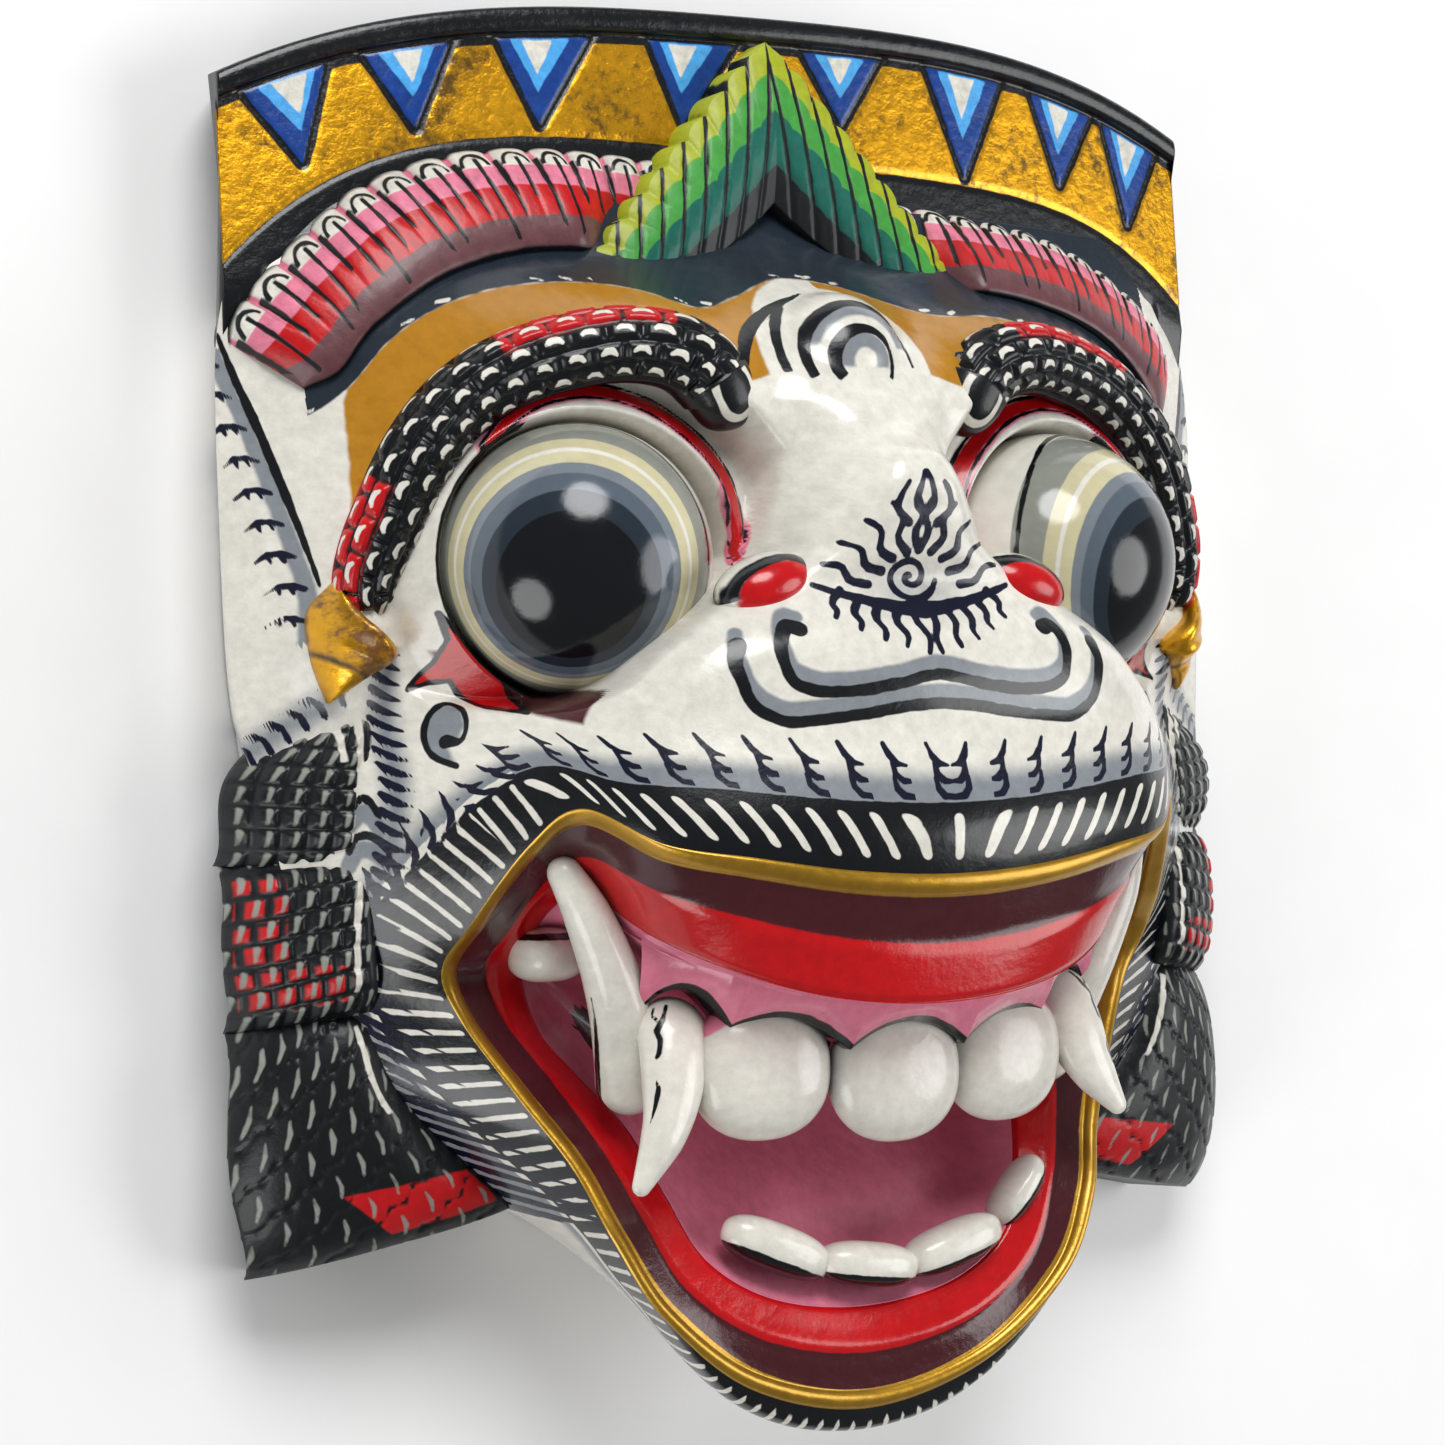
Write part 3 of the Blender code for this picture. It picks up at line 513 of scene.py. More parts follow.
def lacquered(name, base, layers=(), gloss=0.22, bands=None, streak=0.16, relief=0.25,
              grain=(300.0, 300.0, 90.0), coat=0.35):
    """Paint laid in layers on carved wood, each where its painted depth is above zero.

    layers: (attribute, colour, softness of its edge in mm, kind), kind one of paint, wash,
    gold and leaf. bands: (attribute, span, stops) lays one ramp of flat colours under them.
    """
    material = bpy.data.materials.new(name)
    material.use_nodes = True
    tree = material.node_tree
    shader = tree.nodes["Principled BSDF"]
    place = add(tree, "ShaderNodeTexCoord", {}, {})["Object"]

    def math_of(operation, a, b):
        return add(tree, "ShaderNodeMath", {"operation": operation}, {0: a, 1: b})[0]

    hand = add(tree, "ShaderNodeTexNoise", {}, {"Vector": place, "Scale": 330.0, "Detail": 2.0})
    wobble = math_of("MULTIPLY", math_of("SUBTRACT", hand["Fac"], 0.5), 0.55)
    long_way = add(tree, "ShaderNodeVectorMath", {"operation": "MULTIPLY"},
                   {0: place, 1: grain})[0]
    brush = add(tree, "ShaderNodeTexNoise", {},
                {"Vector": long_way, "Scale": 1.6, "Detail": 5.0, "Roughness": 0.65})["Fac"]
    patchy = add(tree, "ShaderNodeTexNoise", {},
                 {"Vector": place, "Scale": 42.0, "Detail": 4.0, "Roughness": 0.6})["Fac"]
    tone = colour(base)
    metal = 0.0
    rough = gloss
    if bands:
        key, span, stops = bands
        value = add(tree, "ShaderNodeAttribute", {"attribute_name": key}, {})["Fac"]
        value = math_of("DIVIDE", math_of("ADD", value, wobble), span)
        ramp = tree.nodes.new("ShaderNodeValToRGB")
        points = ramp.color_ramp.elements
        points[0].color = colour(stops[0][1])
        points[1].color = colour(stops[-1][1])
        points[0].position, points[1].position = 0.0, 1.0
        for (edge, before), (_, after) in zip(stops[:-1], stops[1:]):
            soft = 0.2 / span
            points.new(max(edge / span - soft, 0)).color = colour(before)
            points.new(min(edge / span + soft, 1)).color = colour(after)
        tree.links.new(value, ramp.inputs[0])
        tone = ramp.outputs[0]
    for key, shade, edge, kind in layers:
        depth = add(tree, "ShaderNodeAttribute", {"attribute_name": key}, {})["Fac"]
        depth = math_of("ADD", depth, wobble)
        mask = add(tree, "ShaderNodeMapRange", {"interpolation_type": "SMOOTHSTEP"},
                   {0: depth, 1: -edge, 2: edge, 3: 0.0, 4: 0.92 if kind == "wash" else 1.0})[0]
        if kind == "leaf":
            worn = math_of("ADD", math_of("MULTIPLY", patchy, 0.6), math_of("MULTIPLY", brush, 0.5))
            kept = add(tree, "ShaderNodeMapRange", {"interpolation_type": "SMOOTHSTEP"},
                       {0: worn, 1: 0.41, 2: 0.54, 3: 0.2, 4: 1.0})[0]
            mask = math_of("MULTIPLY", mask, kept)
        tone = add(tree, "ShaderNodeMix", {"data_type": "RGBA"},
                   {0: mask, 6: tone, 7: colour(shade)})[2]
        shine = {"gold": 0.75, "leaf": 0.9}.get(kind, 0.0)
        dull = {"gold": 0.36, "leaf": 0.33, "wash": gloss + 0.05}.get(kind, gloss)
        metal = add(tree, "ShaderNodeMix", {}, {0: mask, 2: metal, 3: shine})[0]
        rough = add(tree, "ShaderNodeMix", {}, {0: mask, 2: rough, 3: dull})[0]
    shade = add(tree, "ShaderNodeMapRange", {},
                {0: brush, 1: 0.3, 2: 0.7, 3: 1 - streak, 4: 1 + streak / 3})[0]
    stain = add(tree, "ShaderNodeMapRange", {}, {0: patchy, 1: 0.3, 2: 0.7, 3: 0.93, 4: 1.04})[0]
    tone = add(tree, "ShaderNodeVectorMath", {"operation": "SCALE"},
               {0: tone, 3: math_of("MULTIPLY", shade, stain)})[0]
    rough = math_of("ADD", rough, math_of("MULTIPLY", math_of("SUBTRACT", patchy, 0.5), 0.35))
    swell = math_of("ADD", math_of("MULTIPLY", brush, 0.5), math_of("MULTIPLY", patchy, 1.2))
    bump = add(tree, "ShaderNodeBump", {},
               {"Strength": relief, "Distance": 0.0009, "Height": swell})[0]
    for socket, value in (("Base Color", tone), ("Metallic", metal), ("Roughness", rough),
                          ("Normal", bump)):
        if isinstance(value, bpy.types.NodeSocket):
            tree.links.new(value, shader.inputs[socket])
        else:
            shader.inputs[socket].default_value = value
    shader.inputs["IOR"].default_value = 1.5
    shader.inputs["Specular IOR Level"].default_value = 0.3
    shader.inputs["Coat Weight"].default_value = coat
    shader.inputs["Coat Roughness"].default_value = 0.12
    return material


# The face

# Painted lines of the right half of the face: points x, y in mm
MOUSTACHE = (
    (((22.6, 13.6), (24.6, 14), (26.2, 11), (26, 8), (24.9, 5.4), (22, 4.1), (18.6, 3.7),
      (13.5, 3.9), (6.2, 5),
      (3, 5.8), (0, 6.2)), (1.5, 1.3, 1.1, 1, .95, .95, .95, .95, .95, .95, .95)),
    (((32.8, 11.1), (33.6, 8.5), (33, 6), (32, 3), (30.3, 1.1), (27.5, -.4), (24.5, -.9),
      (18.7, -.4),
      (12.6, .2), (6, 1.2), (0, 1.6)), (1.5, 1.2, 1.1, 1, .95, .95, .95, .95, .95, .95, .95)))
HAIR_GLYPH = (
    (((-3.5, .8), (-1.6, 1.0), (-.4, 2.2), (0, 4.0)), (.5, .62, .6, .4)),
    (((-3.4, 3.4), (-1.6, 3.5), (-.3, 4.6), (.2, 6.6)), (.3, .6, .6, .4)),
    (((-2.2, 6.0), (-.6, 6.3), (.6, 7.6), (1.6, 9.6)), (.3, .6, .55, .35)))
CHEEK_GLYPH = (
    (((-1.8, -.6), (0, .2), (1.2, 1.8), (1.1, 3.4)), (.55, .6, .5, .3)),
    (((-1.1, 2.0), (.6, 2.3), (1.7, 3.6), (2.1, 5.2)), (.3, .5, .45, .25)))
NOSE_HAIRS = (
    ((0, 26), (1.2, 28.6), (.3, 31.4), (1.5, 34.6)),
    ((2.2, 25.6), (4.2, 27.8), (3.8, 30.6), (5.8, 33.2)),
    ((4.5, 24.6), (7, 26), (7.2, 28.8), (9.6, 30.6)),
    ((6.2, 22.6), (9.2, 23.6), (10.2, 26), (13, 27.2)),
    ((8.5, 20.6), (11.6, 21.2), (13.2, 23.4), (16, 23.8)),
    ((0, 31.5), (1.6, 33.5), (.9, 36.4), (.2, 38.2)),
    ((2.6, 30.2), (4.8, 32.2), (4.4, 34.6), (3.2, 36.6)),
    ((1, 17.6), (1.8, 14.8), (.6, 12), (1.2, 9.6)),
    ((4.2, 17.2), (5.4, 14.6), (4.4, 12.4), (5, 10.6)),
    ((7.4, 17.6), (8.8, 15.2), (8, 13.2), (8.6, 11.8)),
    ((10.6, 18.4), (12.2, 16.2), (11.6, 14.6), (12.2, 13.4)),
    ((13.6, 19.6), (15.4, 17.8), (15, 16.4), (15.6, 15.4)))
NOSE_CREASE = ((0, 16.4), (4, 16.9), (9, 17.9), (14, 19.2), (18, 20.6))
LID_LINE = ((61, 41), (59.6, 45), (55.2, 49.3), (49.5, 52.2), (42, 53), (33.5, 50.5), (26, 44.7),
            (21.8, 38.6),
            (20.8, 32), (21.7, 25.5))
CORNER_PATCH = ((68.4, 17.8), (66.9, 13.6), (68.1, 10.2), (71.6, 5.9), (68.3, 7), (65.7, 7.2),
                (64.4, 5.2),
                (62.1, 2.9), (58.5, 1.8), (57, 3.5), (60, 9), (65, 14))
OCHRE_TOP = np.array([
    (-90, 46), (-77, 54.8), (-71.8, 61.1), (-64.7, 66.4), (-56.6, 69.7), (-50, 71), (-40.6, 71.4),
    (-31.8, 70),
    (-24, 67), (-14.5, 69.5), (-6.5, 72.9), (4, 72.3), (13, 70), (21.8, 67.5), (33.6, 67.5),
    (45.7, 65),
    (59.4, 60), (68, 54), (77, 44), (90, 34)])
SWIRL = ((67.3, -6.3), (69.7, -4.5), (70.1, -1.3), (68.8, 2.2), (66.7, 3.6), (65.1, 2.7), (65.1, 0),
         (66.2, -2.3),
         (67.8, -2.4))
CRESCENTS = (((79.9, -13.1), (78.8, -11.3), (77.6, -11.3), (76.4, -13.7)),
             ((80, -19.4), (79.1, -17.2), (77.4, -17), (75.8, -18.4)))
EAR_LINE = ((94.3, 63.8), (92.2, 56.4), (89.4, 48.2), (87.1, 40), (85.3, 31.8), (83.6, 22.8))
KNOB_ARCS = ((5.3, 1.1, -0.6, np.pi + 0.6), (9.8, .85, -0.1, np.pi + 0.3), (13.6, .7, 2.3, 3.3))


def lift(path, eye):
    """The face's points over a painted line given by x and y."""
    path = through(np.asarray(path, float), np.linspace(0, len(path) - 1, 4 * len(path) - 3))
    lip = around(LIP_EDGE, np.linspace(-6, 6, 121))
    error = lip[:, 2] - face_height(lip[:, 0], lip[:, 1], eye)
    gap = np.linalg.norm(path[:, None] - lip[None, :, :2], axis=-1)
    nearest = gap.argmin(1)
    z = face_height(path[:, 0], path[:, 1], eye)
    z = z + error[nearest] * np.exp(-gap.min(1) / 9)
    return np.concatenate([path, z[:, None]], axis=1)


def lifted(paths, radii, eye):
    """Brush strokes on the face: lifted paths with their radii spread over the added points."""
    strokes = []
    for path, radius in zip(paths, radii):
        radius = np.broadcast_to(np.asarray(radius, float), len(path))
        more = np.interp(np.linspace(0, len(path) - 1, 4 * len(path) - 3), np.arange(len(path)),
                         radius)
        strokes.append((lift(path, eye), more))
    return strokes


def dabs(along, pitch, half, from_start, to_end):
    """Depth inside evenly pitched strokes with round ends, from the distances past each end."""
    beyond = np.maximum(half - np.minimum(from_start, to_end), 0)
    return half - np.hypot((along % pitch) - pitch / 2, beyond)


def face_paint(points, t, arc, eye):
    """Depths of the painted shapes on the face, from points, stations and runs from the lip."""
    across = np.abs(points[..., 0])
    y = points[..., 1]
    spot = np.stack([across, y, points[..., 2]], -1)
    fold = folded(t)
    width = around(BAND_WIDTHS, fold)[..., 0]
    row = np.abs(arc - 8).argmin(0)[0]
    middle = int(np.abs(t[row]).argmin())
    run = run_length(points[row][None], 1)
    along = np.abs(run - run[:, middle:middle + 1]) + 0 * arc
    past = arc - width
    upper = fold < 4.45
    far_from_eye = np.hypot(across - eye[0], y - eye[1])

    # Black band beside the lip, with white strokes across it
    black = np.minimum(width - arc, 3)
    lash = np.where(
        upper, dabs(along - 0.5 * arc * ease(0, 12, along) + 2.7, 5.4, 0.85, arc - 2.2,
                    width - 1.8 - arc),
        dabs(along + 0.1 * arc, 3.3, 0.48, arc - 0.8, width - 1.3 - arc))

    # Rows of hair strokes over the band
    cell = np.stack([(along % 7.2) - 3.6 + 0.18 * past, past], -1)
    hairs = np.where(upper, brushed(cell, HAIR_GLYPH), -3)
    small = np.stack([(along % 4.6) - 2.3, past], -1)
    hooks = np.where(upper | (fold > 9.3), -3, brushed(small, CHEEK_GLYPH))
    ridge = np.where(upper, -3, 0.7 - np.abs(past - 0.2))
    shadow = np.where(upper, 2.4 - np.abs(past - 1.5) * 0.75, 1.8 - np.abs(past - 1.2) * 0.75)

    # Lines of the muzzle and nose
    tash = brushed(spot, lifted([m[0] for m in MOUSTACHE], [m[1] for m in MOUSTACHE], eye))
    over = [(np.array(m[0]) + np.array((-.3, 1.9)), 1.25) for m in MOUSTACHE]
    grey = brushed(spot, lifted([o[0] for o in over], [o[1] for o in over], eye))
    spin = np.linspace(0.3, 11.2, 40)
    spiral = np.stack([0.43 * spin * np.cos(spin + 1.2) - 1,
                       21.8 + 0.36 * spin * np.sin(spin + 1.2)], -1)
    on_nose = np.stack([across, y], -1)
    curl = brushed(np.stack([points[..., 0], y], -1), [(spiral, 0.58)])
    flames = brushed(on_nose,
                     [(through(np.array(h, float), np.linspace(0, 3, 9)), np.linspace(.8, .42, 9))
                               for h in NOSE_HAIRS])
    crease = brushed(on_nose, [(NOSE_CREASE, (1.4, 1.1, .9, .7, .5))])
    nose_side = np.where(points[..., 2] > 60, 3, -9)
    ink = np.maximum.reduce([hairs, hooks,
                             np.minimum(np.maximum.reduce([curl, flames, crease]), nose_side)])
    nose_shade = 0.2 - 0.26 * np.hypot((across - 2) * 0.55, (y - 19.5) * 0.9)

    # Lid line, eye corner, painted shadow below the eye and the line work on the cheek and ear
    lid = brushed(spot, lifted([LID_LINE], [(.3, .7, 1.0, 1.1, 1.2, 1.3, 1.4, 1.4, 1.3, .9)], eye))
    corner = enclosed(across, y, CORNER_PATCH)
    red = np.maximum(lid, corner)
    rim = np.where((points[..., 2] < 50) & (across > 54), 0.5 - np.abs(far_from_eye - 23.3), -3)
    edge = np.maximum(np.maximum.reduce([-np.abs(lid + 0.35) + 0.35, -np.abs(corner) + 0.4, rim]),
                      brushed(spot, lifted([SWIRL, CRESCENTS[0], CRESCENTS[1]],
                                           [(.5, .6, .6, .55, .5, .45, .45, .5, 1.2), .7, .7],
                                           eye)))
    curls = np.maximum(enclosed(across, y, np.array(SWIRL) + 0.1) * 0.8,
                       brushed(spot,
                               lifted([c - np.array((0, 2.2)) for c in map(np.array, CRESCENTS)],
                                            [1.4, 1.4], eye)))
    # Painted shadow: a maroon band on the socket floor just below the eyeball, where the ball's
    # shade falls
    shadow_under_eye = np.minimum.reduce([3.2 - np.abs(far_from_eye - 24.5), 12 - y, across - 44,
                                   60 - points[..., 2]])
    ear = brushed(spot, lifted([EAR_LINE], [(.3, .7, .8, .8, .7, .4)], eye))
    ear_x = np.interp(y, [p[1] for p in EAR_LINE[::-1]], [p[0] for p in EAR_LINE[::-1]])
    beyond = across - ear_x
    on_ear = (y > 13) & (y < 62)
    ear_grey = np.where(on_ear, 1.1 - np.abs(beyond - 1.5), -3)
    feather_cell = np.stack([beyond, ((y + 0.3 * beyond) % 5.2) - 2.6], -1)
    feathers = np.where(on_ear & (across > 80), brushed(feather_cell, [
        (((1.6, -.6), (3.0, .5), (4.6, .9), (6.4, .1)), (.35, .45, .45, .25)),
        (((3.2, .5), (2.9, -.9)), (.4, .2)), (((4.7, .8), (4.5, -.6)), (.4, .2))]), -3)

    # Fuzzy dark margins of the cheek and the ear where they meet the locks of hair
    lock_x = np.interp(y, [-79, -60, -45, -32, -20, -8, 5], [50, 70, 75.4, 76.4, 76, 75.1, 75.6])
    beside = lock_x - across
    by_lock = (y > -80) & (y < 13) & (across < 90)
    above_lock = (across - 79) * 0.607 + (y - 5) * 0.796
    down_ear = (across - 79) * 0.796 - (y - 5) * 0.607
    by_ear = (across > 79.5) & (down_ear > -4) & (above_lock < 7)
    deep = 1 + 1.6 * ease(-38, -55, y)
    fuzz = np.maximum(np.where(by_lock, 1.6 - np.abs(beside - 0.8 * deep) / deep, -3),
                      np.where(by_ear, 1.4 - np.abs(above_lock - 1.4) * 0.7, -3))
    tufts = brushed(np.stack([beside / deep, ((y + 0.8 * beside) % 2.4) - 1.2], -1),
                    [(((-.5, -.6), (1.2, -.1), (2.9, .6)), (.9, .6, .2))])
    curled = brushed(np.stack([above_lock, (down_ear % 3.0) - 1.5], -1), [
        (((-.5, -.2), (1.6, -.8), (3.2, -.1), (3.6, 1.0)), (.5, .45, .45, .25)),
        (((1.8, -.6), (2.2, .8)), (.4, .2))])
    feathers = np.maximum.reduce([feathers, np.where(by_lock, tufts, -3),
                                  np.where(by_ear, curled, -3)])
    whorl = np.full(y.shape, -9.0)
    from_knob = np.hypot(across, y - KNOB_PAINT_Y)
    turn = np.arctan2(y - KNOB_PAINT_Y, points[..., 0])
    turn = np.where(turn < -np.pi / 2, turn + 2 * np.pi, turn)
    for radius, half, low, high in KNOB_ARCS:
        off = np.maximum(low - turn, turn - high) * radius
        thick = half * np.clip(0.75 + 0.25 * (turn - np.pi / 2), 0.4, 1.1)
        whorl = np.maximum(whorl, np.minimum(thick - np.abs(from_knob - radius), -off))
    knob_grey = np.maximum(np.minimum(1.3 - np.abs(from_knob - 3.4), y - 56.5),
                           np.minimum(0.9 - np.abs(from_knob - 8.5), y - 60))

    # Ochre forehead under a slate band, with a slate stripe beside the knob
    top = through_keys(OCHRE_TOP[:, 1:], OCHRE_TOP[:, 0], points[..., 0])[..., 0]
    brow_low = np.interp(across, [0, 11, 13, 20, 40, 54, 63, 70, 74.5, 77.5, 95],
                         [66, 62, 56, 54, 60, 57, 51.5, 43, 33, 24, 22])
    side_limit = np.interp(y, [20, 33, 52, 56, 90], [80.9, 79.3, 78.3, 77, 77])
    ochre = np.minimum.reduce([top - y, y - brow_low, side_limit - across,
                               from_knob - np.where(points[..., 0] < 0, 16.5, 13.6)])
    slate = np.where(across > 83, -3, np.minimum(y - top, 3))
    dashes = np.stack([((across + 0.4 * y) % 4.6) - 2.3, y - top - 0.7], -1)
    speck = np.where(slate > -2, brushed(dashes, [(((-.9, -.3), (.9, .3)), .24)]), -3)
    speck = np.where(np.sin(across * 0.31 + 0.6) > -0.1, speck, -3)
    stripe = brushed(spot, lifted([((21, 56), (17.5, 62), (11.5, 66.8), (4, 70))],
                                  [(.9, 1.3, 1.2, .4)], eye))
    stripe = np.where(points[..., 0] < 0, stripe, -3)
    return {
        "ochre": ochre, "slate": np.clip(slate, -3, 3), "grey": np.maximum.reduce([
            grey, ear_grey, knob_grey, curls]),
        "shade": np.maximum.reduce([shadow, nose_shade, fuzz]), "mauve": np.clip(shadow_under_eye, -3, 3),
        "red": red,
        "pink": np.minimum(lid + 1.1, 27.0 - far_from_eye),
        "black": np.maximum.reduce([black, edge, tash, ear, whorl, stripe]),
        "white": np.maximum.reduce([lash, ridge, speck]), "ink": np.maximum(ink, feathers)}


def paint_of_face():
    """Gloss white house paint with brushed line work: the face's skin."""
    return lacquered("gloss white paint with brushed line work", "white", (
        ("ochre", "ochre", 0.3, "paint"), ("slate", "slate", 0.25, "paint"),
        ("shade", "grey", 1.6, "wash"),
        # The "mauve" depth is painted shadow in maroon below each eyeball
        ("grey", "grey", 0.35, "wash"), ("mauve", "maroon", 0.4, "paint"),
        ("pink", "pink", 0.3, "paint"),
        ("red", "red", 0.15, "paint"),
        ("black", "black", 0.12, "paint"), ("white", "white", 0.12, "paint"),
        ("ink", "ink", 0.1, "paint")), gloss=0.24)


def build_face(eye):
    """The face in three skins: muzzle, forehead with the sockets, and jaw with the rim."""
    material = paint_of_face()
    spans = (("face_muzzle", -5.2, 5.2, 0.0, 0.42, 600, 130),
             ("face_forehead", -5.2, 5.2, 0.42, 1.1, 560, 150),
             ("face_jaw", 5.2, 22.8, 0.0, 1.1, 720, 66))
    muzzle_arc = None
    for name, first, last, low, high, columns, rows in spans:
        t = np.broadcast_to(np.linspace(first, last, columns), (rows, columns))
        s = np.linspace(low, 1, rows - 1)
        s = np.concatenate([s, [high]]) if high > 1 else np.linspace(low, high, rows)
        s = np.broadcast_to(s[:, None], (rows, columns))
        points = face_skin(t, s, eye)
        arc = run_length(points, 0)
        if low > 0:
            arc = arc + np.interp(t[0], muzzle_arc[0], muzzle_arc[1])
        if name == "face_muzzle":
            muzzle_arc = t[0], arc[-1]
        paint = face_paint(points, t, arc, eye)
        skin(name, points, paint, material, inside=(0, 0, -400) if first < 0 else (0, -20, -20))


# The mouth

def mouth_rings(t):
    """Rings of the mouth's lining, from the lip's edge down to the breathing slot."""
    fold = folded(t)
    lip, inner, gum, floor = (around(table, t) for table in (LIP_EDGE, LIP_INNER, GUM_EDGE,
                                                             MOUTH_FLOOR))
    under = ease(5, 3, fold)[:, None]
    floor = floor + under * np.array((0, 3.2, 0))
    step = gum + (floor - gum) * 0.06 - under * np.array((0, 0, 4.5))
    turn = math.pi * t / LAST
    slot = np.stack([SLOT_HALF_WIDTH * np.sin(turn), SLOT_Y + SLOT_HALF_HEIGHT * np.cos(turn),
                     np.full_like(t, 16.0)], axis=-1)
    deep = floor + (slot - floor) * 0.55 - under * np.array((0, 0,
                                                             6.0)) - (1 - under) * np.array((0, 0,
                                                                                             3.0))
    thin = slot * np.array((0.94, 1, 1)) - np.array((0, 0, 1.0))
    out = slot * np.array((0.93, 1, 0)) + np.array((0, 0, 7.2))
    return np.stack([lip, lip + (inner - lip) * 0.33, (lip + inner) / 2, inner, (inner + gum) / 2,
                     gum + (inner - gum) * 0.06, gum, step, floor, deep, slot, thin, out])


def build_mouth():
    """The mouth's lining: gold roll, maroon and red bands, gums, floor and breathing slot."""
    columns = 760
    t = np.linspace(0, 2 * LAST, columns, endpoint=False)
    rings = mouth_rings(t)
    v = np.concatenate([np.linspace(0, 1, 16, endpoint=False),
                        np.linspace(1, 3, 14, endpoint=False),
                        np.linspace(3, 5, 14, endpoint=False),
                        np.linspace(5, 7, 10, endpoint=False),
                        np.linspace(7, 10, 30, endpoint=False), np.linspace(10, 12, 6)])
    points = through(rings.reshape(len(rings), -1), v).reshape(len(v), columns, 3)
    roll = size("lip_roll") * np.sin(np.pi * np.clip(v / 0.98, 0, 1)) ** 0.7
    ledge = 0.7 * ease(2.8, 3.4, v) * ease(5.2, 4.8, v)
    points[..., 2] += (roll + ledge)[:, None]
    tongue = np.exp(-((points[..., 0] - 2) / 19) ** 4 - ((points[..., 1] + 77.5) / 7.5) ** 2)
    points[..., 2] += 5.5 * tongue * ease(7.6, 8.4, v)[:, None]
    arc = run_length(points, 0)
    fold = folded(t)
    red_to = 5.3 + 0.8 * ease(5.2, 3.6, fold)
    edges = np.stack([np.interp([1.0, 3.0, red_to[c]], v, arc[:, c]) for c in range(0, columns, 8)],
                     0)
    gold_end, maroon_end, red_end = (np.interp(np.arange(columns), np.arange(0, columns, 8),
                                               edges[:, k],
                                               period=columns) for k in range(3))
    gold_end = np.clip(gold_end, 3.9, 4.9)
    maroon_end = np.where(fold < 5, maroon_end,
                          np.minimum(gold_end + 0.47 * (red_end - gold_end), maroon_end))
    bands = np.select([arc < gold_end, arc < maroon_end, arc < red_end],
                      [arc / gold_end, 1 + (arc - gold_end) / (maroon_end - gold_end),
                       2 + (arc - maroon_end) / (red_end - maroon_end)],
                      3 + (arc - red_end) / 12)
    # Painted shade: a black wash over the lining deeper than 16.5 mm, round the breathing slot
    dark = np.where(points[..., 2] < 16.5, 1.0, -3.0)
    paint = {"band": bands * 10, "gold": (gold_end - arc), "deep": dark}
    # Wet looking red and pink under a bronze rim that shines more than the paint, with a black wash
    # of painted shade down in the mouth's depths
    material = lacquered("gloss red and pink mouth paint with a gold rim", "pink", (
        ("gold", "gold", 0.12, "gold"), ("deep", "black", 1.0, "wash")),
        gloss=0.16, bands=("band", 40.0, ((10, "gold"), (20, "maroon"), (30, "red"), (40, "pink"))))
    skin("mouth_lining", points, paint, material, wrap=True, inside=(0, -60, -300))


def build_upper_gum():
    """Upper gum: a sheet over the roots of the teeth.

    Its foot is the highest of the arches round the teeth, each a parabola below its top.
    """
    x = np.linspace(-42.5, 42.5, 520)
    foot = np.full(520, -90.0)
    for middle, top, half, drop in GUM_ARCHES:
        foot = np.maximum(foot, top - drop * ((x - middle) / half) ** 2)
    high = np.interp(np.abs(x), (0, 17, 31, 42.5), (-45.2, -43.8, -39.8, -33.8))
    front = np.interp(np.abs(x), (0, 17, 31, 42.5), (71.0, 69.6, 65.2, 56.4))
    low = np.interp(x, (-42.5, -36, -22.5, 0.5, 22.7, 36, 42.5),
                    (53.0, 57.2, 62.4, 66.2, 62.2, 57.2, 53.0))
    b = np.concatenate([np.linspace(0, 1, 44), [1.0, 1.0, 0.9]])[:, None]
    back = np.concatenate([np.zeros(44), [0.6, 2.4, 7.0]])[:, None]
    y = high + (foot - high) * b
    z = front + (low - front) * b + 1.0 * np.sin(np.pi * b) - back
    sheet = np.stack([x + 0 * b, y, z], -1)
    # Wet pink like the rest of the mouth, outlined in black along the teeth
    skin("upper_gum", sheet, {"black": 1.0 - (y - foot) + 0 * back}, lacquered(
        "gloss pink gum paint with a black edge", "pink", (("black", "black", 0.12, "paint"),),
        gloss=0.16),
        inside=(0, -50, -300))


